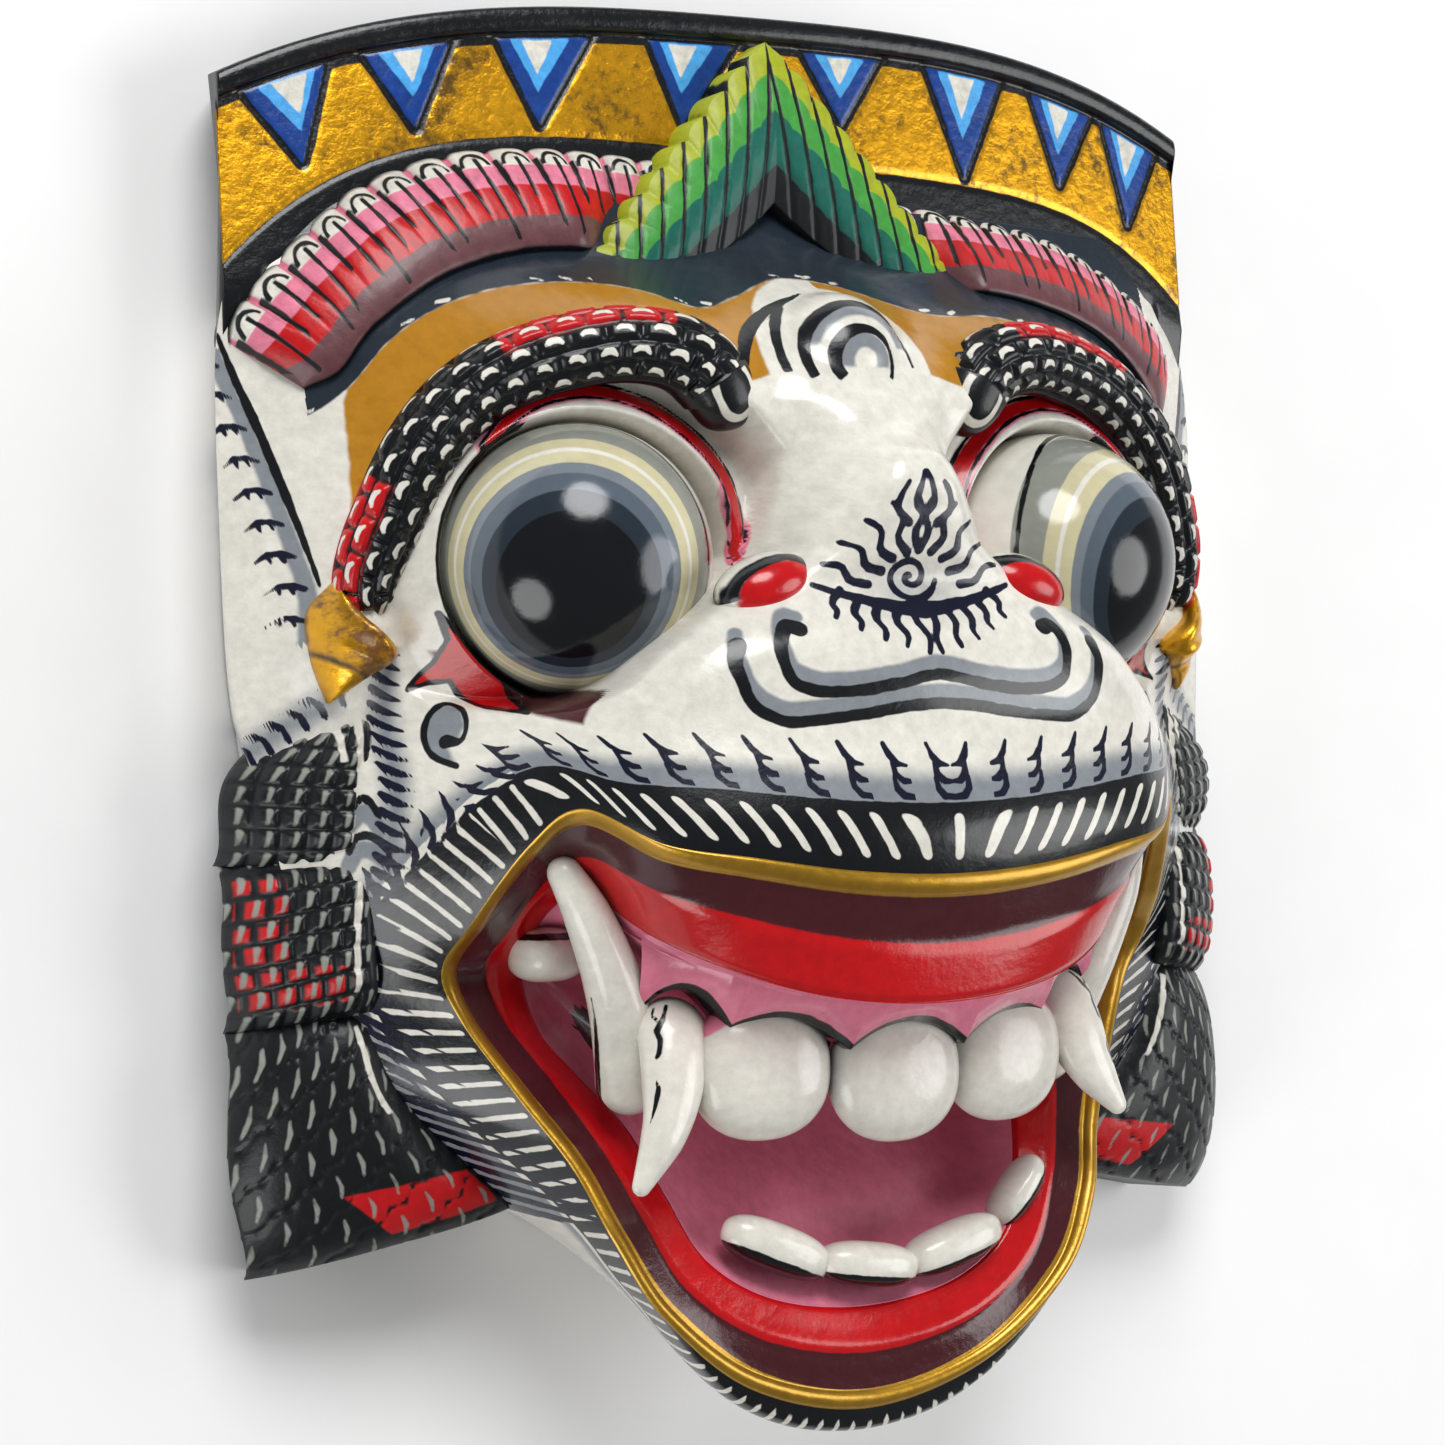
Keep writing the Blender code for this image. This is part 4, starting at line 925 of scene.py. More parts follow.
def build_teeth():
    """Upper front teeth, fangs, tusks, molars and the row of lower teeth."""
    width = size("incisor_width")
    # Smooth ivory white, the shiniest white of the mask, with a grey wash of painted shade where
    # teeth meet and at the tusks' roots
    material = lacquered("gloss white paint on carved teeth", "white", (
        ("pink", "pink", 0.3, "paint"), ("shade", "grey", 1.4, "wash"),
        ("black", "black", 0.12, "paint")), gloss=0.17, streak=0.12)
    for place in (-1, 0, 1):
        centre = (place * 22.6 + 0.5 - 0.4 * abs(place), -57.2 + 1.6 * abs(place),
                  60.0 - 2.8 * abs(place))
        points, local = blob(centre, (width, 11.4, 6.0), (0, math.radians(9 * place), 0), 60, 110,
                             square=2.25, belly=0.8)
        gum = 8.8 - 5.2 * (local[..., 0] / width) ** 2
        # Painted shade: grey wash down each incisor's sides where it meets the next
        skin("incisor_" + ("left", "middle", "right")[place + 1], points, {
            "pink": local[..., 1] - gum - 0.3, "black": -3,
            "shade": np.abs(local[..., 0]) - width + 0.4}, material, wrap=True, ends=(0, -1))
    for side, word in SIDES:
        flip = np.array((side, 1, 1))
        line = SHORT_FANG if side > 0 else FANG_LINE * flip
        girth = tuple(size("fang_radius") * g for g in (.95, 1.0, .85, .6, .2))
        fang, run, angle = tube(line, girth, 70, 60, flat=0.75)
        turn = angle if side < 0 else (np.pi - angle) % (2 * np.pi)
        tear = brushed(np.stack([(turn - 0.95) * size("fang_radius"), run], -1), [
            (((-1.7, 3.4), (-2.1, 4.8), (-1.1, 5.6)), .4),
            (((.8, 3.2), (-.1, 5.8), (-1.5, 7.6), (-.9, 9), (-1.2, 11),
             (-1.9, 11.8)), (.35, .55, .5, .5, .5, .3)),
             (((-2.3, 15), (-1.5, 16.6), (-2.2, 19.4), (-3.1, 22.6)), (.2, .55, .6, .2))])
        skin("fang_" + word, fang, {"pink": -3, "black": tear, "shade": -3}, material,
             wrap=True, ends=(0, -1))
        tusk, run, angle = tube(TUSK_LINE * flip,
                                tuple(size("tusk_radius") * g for g in (1.0, .95, .85, .68, .42)),
                                90, 44)
        turn = angle if side < 0 else (np.pi - angle) % (2 * np.pi)
        # Black stripe on the tusk's outer side: a painted outline that is also painted shadow along
        # that side
        outline_and_shadow_stripe = brushed(np.stack([(turn - 3.05) * 4.5, run + 0 * angle], -1), [
            (((-1.0, 1.5), (.9, 4), (1.1, 9), (.2, 16), (-.2, 24)), (.4, .8, .9, .5, .2))])
        # Painted shade: grey wash at the tusk's root where it goes into the gum
        skin("tusk_" + word, tusk,
             {"pink": -3, "black": outline_and_shadow_stripe, "shade": 1.2 - run * 0.5 + 0 * angle},
             material, wrap=True, ends=(0, -1))
        molar, local = blob((48 * side, -37, 33), (6.0, 4.5, 7.0), (0, 0, 0), 36, 60, square=2.8,
                            belly=0.7)
        skin("molar_" + word, molar, {"pink": -3, "shade": -3,
                                      "black": 0.55 - np.abs(local[..., 1] - 3.0)}, material,
                                      wrap=True, ends=(0, -1))
    for k, (x, y, z, lean, half, high) in enumerate(LOWER_TEETH):
        tooth, local = blob((x, y, z), (half, high, 4.4), (0, 0, math.radians(lean)), 40, 80,
                            square=2.6, belly=0.7)
        skin("lower_tooth_%d" % (k + 1), tooth,
             {"pink": -3, "shade": -3, "black": 2.1 - high - local[..., 1]},
             material, wrap=True, ends=(0, -1))


# Eyes, brows, nostrils

def build_eyes(eye):
    """Bulging eyeballs with a pupil and rings of grey and cream painted off centre."""
    # Glassy rings from black to cream with almost no brush marks
    material = lacquered("gloss eye paint in brushed rings", "white",
                         (("black", "black", 0.12, "paint"),),
                         gloss=0.1, relief=0.12, streak=0.08, bands=("ring", 90.0, (
                             (32.0, "black"), (39.5, "slate"), (46.0, "steel"), (50.5, "grey"),
                             (56.0, "beige"),
                             (58.0, "white"), (63.5, "beige"), (78.0, "pearl"), (90.0, "white"))))
    for side, word in SIDES:
        down = np.linspace(0.01, np.pi - 0.01, 110)[:, None]
        round_ = np.linspace(0, 2 * np.pi, 120, endpoint=False)[None]
        out = math.radians(28.3)
        axis = np.array((side * math.sin(out), 0, math.cos(out)))
        wide = np.array((math.cos(out), 0, -side * math.sin(out)))
        tall = np.array((0, 1.0, 0))
        normal = (np.cos(down)[..., None] * axis + np.sin(down)[..., None]
                  * (np.cos(round_)[..., None] * wide + np.sin(round_)[..., None] * tall))
        ring = np.full(normal.shape[:2], 40.0)
        for _ in range(12):
            tilt = np.radians(2 + 12.5 * (80 - ring) / 48)
            at = np.stack([axis[0] * np.cos(tilt), -np.sin(tilt), axis[2] * np.cos(tilt)], -1)
            ring = 0.4 * ring + 0.6 * np.degrees(np.arccos(np.clip((normal * at).sum(-1), -1, 1)))
        points = np.array((side * eye[0], eye[1], eye[2])) + eye[3] * normal
        inner = 5 * ease(0.1, 0.8, -side * normal[..., 0])
        skin("eyeball_" + word, points,
             {"ring": ring, "black": (1.2 - np.abs(ring - 80 + inner)) * 0.38},
             material, wrap=True, ends=(0, -1))


def build_nostrils():
    """Flared nostrils: red ovals with a black line over them."""
    # A bright wet red spot on the white of the nose
    material = lacquered("gloss red and white nostril paint", "white", (
        ("red", "red", 0.2, "paint"), ("black", "black", 0.12, "paint")), gloss=0.18)
    for side, word in SIDES:
        points, local = blob((side * 23.6, 20.6, 64.5), (8.6, 5.2, 6.4), (0, 0, -side * 0.3), 50,
                             84)
        oval = 4.0 - np.hypot(local[..., 0] * 0.56, local[..., 1] + 0.3)
        skin("nostril_" + word, points, {"red": oval, "black": np.where(
            local[..., 1] > -0.5, 0.6 - np.abs(oval + 0.3), -3)}, material, wrap=True, ends=(0, -1))


def build_brows():
    """Rolled brows cut in tiles of hair, and the gold cuffs they end in."""
    eye = eye_place()
    # Half gloss black that lets the cut tiles and their dashes show
    hair = lacquered("gloss black brow paint with white dashes", "black", (
        ("red", "red", 0.2, "paint"), ("white", "white", 0.12, "paint")), gloss=0.3, coat=0.15)
    # Bright uneven leaf with a red brown ground in the rubbed places
    metal = lacquered("gold leaf over red clay on carved wood", "maroon", (
        ("gold", "leaf_gold", 0.2, "leaf"), ("black", "black", 0.3, "paint")), gloss=0.4,
        relief=0.5)
    for side, word in SIDES:
        flip = np.array((side, 1, 1))
        girth = tuple(size("brow_radius") * g for g in (.9, 1.05, 1, 1, 1, .95, .72))
        points, run, angle = tube(BROW_LINE * flip, girth, 260, 96)
        turn = angle if side > 0 else np.pi - angle
        turn = (turn + np.pi / 2) % (2 * np.pi) - np.pi / 2
        row = (turn - 0.35) / 0.6
        cell = np.stack([((run / 5.6 + 0.5 * np.floor(row)) % 1.0) * 5.6 - 2.8,
                         (row % 1.0) * 3.8 - 1.9], -1)
        tiled = (row > 0) & (row < 5) & (run > 8.5)
        groove = np.minimum(2.8 - np.abs(cell[..., 0]), 1.9 - np.abs(cell[..., 1]))
        sink = np.where(tiled, size("scale_relief") * (1 - np.clip(groove / 0.8, 0, 1)), 0)
        centre = through(BROW_LINE * flip, np.linspace(0, len(BROW_LINE) - 1, 400))
        run_line = run_length(centre[:, None], 0)[:, 0]
        spine = np.stack([np.interp(run[:, 0], run_line, centre[:, k]) for k in range(3)], -1)[:,
                                                                                               None]
        out = points - spine
        out = out / np.maximum(np.linalg.norm(out, axis=-1, keepdims=True), 1e-6)
        points = points - out * sink[..., None] * np.clip(run / 3, 0, 1)[..., None]
        dash = brushed(cell, [(((-1.3, -.3), (-.6, .5), (.5, .6), (1.2, .1)), (.25, .5, .5, .3))])
        dash = np.where(tiled, dash, -3)
        hook = np.minimum(0.6 - np.abs(np.hypot(run - 6.5, (turn - 1.6) * 6) - 3.4), 8.0 - run)
        reds = np.minimum.reduce([(row - 2.9) * 3.6, np.maximum(13 - np.abs(run - 31), run - 70),
                                  groove - 0.3])
        skin("brow_" + word, points, {"white": np.maximum(dash, hook), "red": np.minimum(reds, 3)},
             hair, wrap=True, ends=(0, -1))
        share = np.linspace(0, 1, 90)
        outer = through(CUFF_OUTER, share * 3)[:, None]
        inner = through(CUFF_INNER, share * 4)[:, None]
        u = np.concatenate([np.linspace(0, 1, 48), np.linspace(1, 0, 14)[1:-1]])[None, :, None]
        plane = outer + (inner - outer) * u
        fold = (plane[..., 1] - 11.6) * 0.87 - (plane[..., 0] - 81.0) * 0.5
        bulge = np.sqrt(4 * u[..., 0] * (1 - u[..., 0]) * np.sin(np.pi * share[:, None]))
        lump = 1.1 * np.exp(-((fold - 0.2) / 1.1) ** 2) - 0.9 * np.exp(-((fold + 2.2) / 1.2) ** 2)
        z = face_height(plane[..., 0], plane[..., 1],
                        eye) + 0.3 + (size("cuff_height") + lump) * bulge
        z[:, 48:] = 25.0
        points = np.concatenate([plane, z[..., None]], -1) * flip
        # The black line along the fold's lower side is painted shade in the crease under the fold
        skin("cuff_" + word, points,
             {"gold": 2.0 + 0 * z, "black": 0.15 - np.abs(fold + 1.6) * 0.6},
             metal, wrap=True, ends=(0, -1))


# Crown, fringe, leaf

TRIANGLES = ((-79.9, 91.8, -89.4, -75.4), (-61, 98.2, -69.2, -54.2), (-39.4, 99.7, -46.4, -29.5),
             (-13.2, 101, -18.9, -2.3), (18.1, 103, 10.5, 26.9), (43.8, 95.4, 36.4, 52.9),
             (65.5, 95.7, 59.7, 73.8), (81.6, 89.5, 76.7, 89.4))


def gold_foot(x):
    """Height y of the gold panel's lower edge."""
    return 96.5 - 22 * np.minimum(np.abs(x) / 94, 1) ** 4.5 - 1.8 * np.sin(np.pi * x / 94)


def build_crown():
    """Crown panel: rounded black rim, carved triangles of blue between panels of gold leaf."""
    x = np.concatenate([[-93.5], np.linspace(-93.2, 93.2, 420), [93.5]])
    top = crown_top(x)
    groove = top - 4.6
    low = 66 - 8 * ease(86, 88, np.abs(x))
    foot = 86 - 14 * (np.abs(x) / HALF_WIDTH) ** 5
    front = crown_front(x, top)
    rows = [np.stack([low + (foot - low) * u, crown_front(x, low) - 3 + 3 * u], -1)
            for u in np.linspace(0, 1, 6, endpoint=False)]
    rows += [np.stack([foot + (groove - foot) * u, crown_front(x, foot + (groove - foot) * u)], -1)
             for u in np.linspace(0, 1, 74)]
    rows += [np.stack([groove + 0.3 + 4.3 * (1 - math.cos(a)) / 2,
                       front + 1.8 * math.sin(a) ** 0.6], -1)
             for a in np.linspace(0.15, math.pi - 0.4, 16)]
    rows += [np.stack([top, (front - 1) * u], -1) for u in np.linspace(1, 0, 14)]
    rows += [np.stack([top + (low - top) * u, 0 * x], -1) for u in np.linspace(0.05, 0.95, 10)]
    rows += [np.stack([low, (crown_front(x, low) - 3) * u], -1) for u in np.linspace(0, 0.9, 6)]
    section = np.stack(rows)
    y = section[..., 0]
    panel = (np.arange(len(rows)) >= 6) & (np.arange(len(rows)) < 80)
    across = np.broadcast_to(x, y.shape)
    royal, sky, white = (np.full(y.shape, -9.0) for shade in range(3))
    for apex, bottom, left, right in TRIANGLES:
        top = np.interp((left, right), x, groove)
        for shape, share, deep in ((royal, 1.0, 1.0), (sky, 0.68, 0.64), (white, 0.38, 0.46)):
            tip = top.mean() - deep * (top.mean() - bottom)
            spread = share * (top + 20.0 - tip) / (top - tip)
            corners = ((apex, tip), (apex + (left - apex) * spread[0], top[0] + 20.0),
                       (apex + (right - apex) * spread[1], top[1] + 20.0))
            np.maximum(shape, enclosed(across, y, corners), out=shape)
    under_groove = groove[None] - y
    gold = np.minimum.reduce([-royal - 1.3, y - gold_foot(across), under_groove - 1.6])
    sky = np.minimum(sky, under_groove - 0.8)
    white = np.minimum(white, under_groove - 1.1)
    royal = np.minimum(royal, under_groove - 0.6)
    cut = np.where((y > gold_foot(across) - 1), 1 - np.clip(np.abs(royal + 0.6) / 0.9, 0, 1), 0)
    cut = np.maximum(cut, 0.8 * (1 - np.clip(np.abs(y - gold_foot(across)) / 1.0, 0, 1)))
    section[..., 1] -= np.where(panel[:, None], size("triangle_relief") * cut, 0)
    lean = np.clip(1 - section[..., 1] / 10, 0, 1) * (1 - BACK_SHARE)
    points = np.stack([across * (1 - lean), y, section[..., 1]], -1).transpose(1, 0, 2)
    hide = np.where(panel[:, None], 0, -9)
    # Mottled leaf, worn through to black, round flat blue and white enamel
    material = lacquered("gold leaf and gloss enamel on the crown", "black", (
        ("gold", "leaf_gold", 0.15, "leaf"), ("royal", "royal", 0.15, "paint"),
        ("sky", "sky", 0.15, "paint"),
        ("white", "white", 0.15, "paint")), gloss=0.26, relief=0.5, streak=0.3)
    skin("crown", points, {key: np.minimum(value, 3).T for key, value in (
        ("gold", gold + hide), ("royal", royal + hide), ("sky", sky + hide),
        ("white", white + hide))},
        material, wrap=True, ends=(0, -1))


FRINGE = np.array([
    (-93.5, 63, -83.2, 54.4), (-90.6, 69.7, -78.4, 56.9), (-81, 80.2, -72.6, 64.4),
    (-71, 88.5, -61.7, 72.2),
    (-57, 94, -50, 76.5), (-43, 95.8, -40, 77.8), (-28, 95.5, -26, 77), (-12, 94, -12, 75.6),
    (12, 91.5, 12, 74), (28, 89.8, 27, 73.2), (43, 88.4, 41, 72.4), (56, 86.8, 52, 70.4),
    (67, 83.6, 62, 67.2),
    (77, 78.6, 70, 62.8), (85, 72.4, 75.5, 58), (89.5, 65, 80, 51)], float)


def build_fringe():
    """Fringe of hair round the forehead: an arched sheet between its tips and its foot."""
    # Dull, streaky bands that look brushed along the strands
    material = lacquered("gloss fringe paint from white to mauve", "white", (
        ("pink", "pink", 0.15, "paint"), ("black", "black", 0.12, "paint"),
        ("edge", "black", 0.3, "paint")),
        gloss=0.36, streak=0.28, coat=0.15, bands=("band", 30.0, (
            (5.6, "white"), (11.6, "pink"), (20.6, "red"), (30.0, "mauve"))))
    eye = eye_place()
    for word, table in (("left", FRINGE[:8]), ("right", FRINGE[8:])):
        line = through(table, np.linspace(0, len(table) - 1, 300))
        tips, foot = line[:, :2], line[:, 2:]
        b = np.concatenate([[0.0], np.linspace(0, 1, 72), [1.0]])[:, None] + np.zeros(300)
        along = run_length((tips + foot)[:, None] / 2, 0)[:, 0][None] + 0 * b
        lobe = np.abs((along % 6.4) - 3.2)
        wide = np.linalg.norm(tips - foot, axis=1)
        open_end = along if word == "left" else along[:, -1:] - along
        pull = 0.9 * (lobe / 3.2) ** 3 * (1 - b) ** 3 / wide
        share = np.clip(b + pull, 0, 1)[..., None]
        plane = tips + (foot - tips) * share
        arch = 3.4 * np.sqrt(np.clip(open_end / 6.3, 0, 1) * (2 - np.clip(open_end / 6.3, 0, 1)))
        high = crown_front(tips[:, 0], tips[:, 1]) - 0.3
        low = face_height(foot[:, 0], foot[:, 1], eye) + 0.6
        low = low + (high - low) * ease(38, 26, np.abs(foot[:, 0]))
        z = high + (low - high) * b + arch * np.clip(4 * b * (1 - b), 0, 1) ** 0.55
        slot = np.exp(-((lobe - 3.2) / 0.6) ** 2) * ease(0.55, 0.25, b) * ease(0.0, 0.05, b)
        strand = np.exp(-((((along + 1.2) % 3.2) - 1.6) / 0.4) ** 2) * ease(0.8, 0.4, b)
        z = z - 0.8 * slot - 0.25 * strand * ease(0.0, 0.1, b)
        z[0] -= 7
        z[-1] -= 9
        band = (b + 0.02 * (lobe / 3.2) - 0.01) * 30
        slit = np.minimum(0.55 * ease(0.45, 0.1, b) - np.abs(lobe - 3.2), (0.42 - b) * 17)
        strokes = np.minimum.reduce([0.36 - np.abs(((along + 1.2) % 3.2) - 1.6), (b - 0.1) * 17,
                                     (0.7 + 0.2 * np.sin(0.55 * along) - b) * 17])
        caps = np.minimum(0.3 - np.abs(np.hypot(lobe, (b - 0.17) * wide) - 2.0), (0.17 - b) * 17)
        edge = np.maximum((0.0 - b) * 17 + 0.3, (b - 0.97) * 17)
        points = np.concatenate([plane, z[..., None]], -1)
        skin("fringe_" + word, points,
             {"band": band, "pink": slit, "black": np.maximum(strokes, caps), "edge": edge},
             material, inside=(0, 60, -200))


def build_leaf():
    """Leaf over the forehead: two arms of serrated lobes meeting in a point."""
    columns = 261
    a = np.linspace(-1, 1, columns)[None]
    b = np.concatenate([[0], np.linspace(0, 1, 70), [1]])[:, None]
    share = np.abs(a)
    lobes = np.abs(np.sin(np.pi * share * 8.5)) ** 0.6
    outer = np.stack([34 * share, 115 - 38.5 * share], -1)
    inner = np.stack([12.6 * share, 87.3 - 11.5 * share], -1)
    inner = inner + np.stack([7.5 * share**3, -3.0 * share**3], -1)
    way = np.array((0.75, 0.66))
    outer = outer + way * (1.3 * lobes * np.clip(share * 8, 0,
                                                 1))[..., None] * (share < 0.999)[..., None]
    plane = outer + (inner - outer) * b[..., None]
    x = plane[..., 0] * np.sign(a + 1e-9)
    y = plane[..., 1]
    thick = size("leaf_thickness") * (1 - 0.15 * share)
    rise = thick * (0.5 + 0.5 * np.sin(np.pi * np.clip(0.12 + 0.76 * b, 0, 1)))
    base = crown_front(x, y) + 1.5 + 2.0 * share
    z = base + rise
    pleat = np.abs(((np.abs(x) + 0.12 * (y - 80)) % 3.8) - 1.9)
    z = z - 0.35 * np.exp(-((pleat - 1.9) / 0.5) ** 2) * ease(0.05, 0.2, b)
    z[0] = base[0] - 6
    z[-1] = base[-1] - 8
    depth = b + 0 * a
    line = np.minimum(0.36 - np.abs(pleat - 1.9), (0.9 - depth) * 30)
    points = np.stack([x, y, z], -1)
    # Soft sheen over stepped greens that darken to the inner edge, where a black wash adds painted
    # shade as the leaf sinks to the forehead
    material = lacquered("gloss green enamel in bands on the leaf", "teal", (
        ("black", "black", 0.12, "paint"), ("shade", "black", 3.0, "wash")), gloss=0.42, streak=0.2,
        coat=0.1,
        bands=("band", 30.0, ((5.5, "lime"), (13.0, "green"), (23.0, "teal"), (30.0, "black"))))
    skin("leaf", points, {"band": depth * 30, "black": line,
                          "shade": (depth - 0.8) * 18}, material, inside=(0, 60, -200))


# Locks of hair and back

def build_locks():
    """Three locks of hair below each ear, carved in scales with white strokes."""
    # Dull black that keeps the scales dark, with chalky strokes on them
    material = lacquered("gloss black hair paint with white strokes", "black", (
        ("red", "red", 0.25, "paint"), ("pale", "pearl", 0.2, "paint"),
        ("white", "white", 0.15, "paint")),
        gloss=0.42, relief=0.3, coat=0.08)
    plans = ((6, 3.4, 0.0), (6, 3.6, 0.1), (7, 5.6, 0.55))
    for k, ((inner, outer), (columns_of, pitch, slant)) in enumerate(zip(LOCKS, plans)):
        along = np.linspace(0, 2, 100 if k == 2 else 76)[:, None]
        start = through(inner, along[:, 0])[:, None]
        stop = through(outer, along[:, 0])[:, None]
        across = np.linspace(0, 1, 74 if k == 2 else 56)[None]
        flat = start + (stop - start) * across[..., None]
        drop = 4.5 * np.abs(along - 1) ** 5
        tilt = 10 if k == 2 else 14.5
        z = 15.5 + tilt * (1 - across) + 4.5 * (1 - np.abs(2 * across - 1) ** 3) - drop
        run = run_length(flat, 0).mean(1, keepdims=True) + 0 * across
        wide = np.linalg.norm(stop - start, axis=-1)
        fall = run - slant * across * wide * 0.8
        rows = fall / pitch
        cols = across * columns_of + 0.5 * np.floor(rows) * (k > 0)
        cell_x = (cols % 1.0 - 0.5) * wide / columns_of
        cell_y = (rows % 1.0 - 0.5) * pitch
        half = wide / columns_of / 2
        if k == 2:
            groove = 1 - np.abs(cell_x / half) * 0.5 - np.abs(cell_y / (pitch / 2)) * 0.75
            gap = np.clip(groove + 0.25, 0, 1) * 2.4
        else:
            gap = np.minimum(half - np.abs(cell_x), pitch / 2 - np.abs(cell_y))
        carved = size("scale_relief") * (0.6 if k == 2 else 1.0) * ease(1.0, 3.5, across * wide)
        z = z - carved * (1 - np.clip(gap / 0.9, 0, 1))
        cell = np.stack([cell_x, cell_y], -1)
        dash = brushed(cell, [(((-.9, -1.2), (-.7, .4), (.1, 1.5)), (.2, .42, .25))] if k == 2 else
                       [(((-.25, -1.0), (.1, .9)), (.42, .25))])
        stop_line = 20 if k == 2 else run[-1] - 4
        edge_line = np.minimum.reduce([0.5 - np.abs(across * wide - 2.4 - 0.06 * run), run - 4,
                                       stop_line - run])
        if k == 0:
            edge_line = np.maximum(edge_line, np.minimum(0.5 - np.abs(across * wide - 5.4),
                                                         4.5 - np.abs(run - 8)))
        red_from = wide * (0.64 - 0.42 * ease(15, 18, run))
        red = np.full(run.shape, OUTSIDE)
        if k == 1:
            red = np.minimum.reduce([
                across * wide - red_from, wide * 0.95 - across * wide, run - 2, run[-1] - 3 - run,
                3.2 - np.abs((run - 2) % 7.2 - 3.6)])
        if k == 2:
            red = np.minimum.reduce([
                run - 33 + 0.15 * across * wide, run[-1] - 2.5 - run, across * wide - 1,
                20 - across * wide])
        red = np.minimum(red, gap - 0.55)
        rim = np.concatenate([flat, z[..., None]], -1)
        under = rim * np.array((BACK_SHARE, 1, 0))
        down = np.linspace(0.15, 1, 8)[None, :, None]
        outer_wall = rim[:, -1:] + (under[:, -1:] - rim[:, -1:]) * down
        back = under[:, ::-1][:, ::6]
        inner_wall = under[:, :1] + (rim[:, :1] - under[:, :1]) * down[:, :-1]
        ring = np.concatenate([rim, outer_wall, back[:, 1:-1], inner_wall], 1)
        spare = ring.shape[1] - rim.shape[1]
        paint = {key: np.pad(depth + 0 * across, ((0, 0), (0, spare)), constant_values=OUTSIDE)
                 for key, depth in (("red", np.minimum(red, 3)), ("pale", dash),
                                    ("white", edge_line))}
        for side, word in SIDES:
            skin("lock_%d_%s" % (k + 1, word), ring * np.array((side, 1, 1)),
                 paint, material, wrap=True, ends=(0, -1))


def hollow(spots):
    """Depth of the hollowed back: the deeper of two half ellipsoids over the spots."""
    depths = []
    for deep, half_width, half_height, middle in (FACE_BOWL, CHIN_BOWL):
        share = (spots[..., 0] / half_width) ** 2 + ((spots[..., 1] - middle) / half_height) ** 2
        depths.append(deep * np.sqrt(np.maximum(1 - share, 0)))
    return np.maximum(*depths)


def build_back():
    """Hollowed back of bare wood: flat rim, bowl for the face and the shallow chin bowl."""
    t = np.linspace(0, 2 * LAST, 260, endpoint=False)
    out = around(OUTLINE, t) * np.array((BACK_SHARE, 1.0))
    hub = np.array((0, SLOT_Y))
    way = out - hub
    reach = np.linalg.norm(way, axis=-1)
    way = way / reach[:, None]

    shares = np.linspace(0, 1, 700)[:, None]
    rays = hub + way[None] * (reach * shares)[..., None]
    open_to = np.where(hollow(rays) > 0, shares, 0).max(0)
    slot = SLOT_HALF_HEIGHT / np.sqrt((way[:, 0] * SLOT_HALF_HEIGHT / 18) ** 2 + way[:, 1] ** 2)
    rim = np.linspace(1, 0, 14)[:, None] * (reach - reach * open_to) + reach * open_to
    deep = 1 - np.linspace(0, 1, 150)[1:, None] ** 1.8
    deep = deep * (reach * open_to - slot) + slot
    far = np.concatenate([rim, deep])
    spots = hub + way[None] * far[..., None]
    z = hollow(spots)
    marks = np.sin(spots[..., 0] * 0.55 + 1.3 * np.sin(spots[..., 1] * 0.21)) * np.sin(
        spots[..., 1] * 0.42 + 1.1 * np.sin(spots[..., 0] * 0.17))
    z = np.maximum(z - size("chisel_mark") * np.abs(marks) * np.clip(z / 4, 0, 1), 0)
    points = np.concatenate([spots, z[..., None]], -1)
    # Dry brown wood with long grain, dark where paint ran over the rim, and a maroon wash of
    # painted shade that deepens into the bowl
    material = lacquered("bare carved wood with a painted edge", "bare_wood", (
        ("edge", "black", 1.2, "paint"), ("shade", "maroon", 8.0, "wash")), gloss=0.55, relief=0.6,
        streak=0.45,
        grain=(260.0, 18.0, 260.0))
    skin("back_hollow", points, {"edge": 2.5 - (reach[None] - far), "shade": z * 0.12 - 6},
         material, wrap=True,
         inside=(0, 0, 300))


# Stage

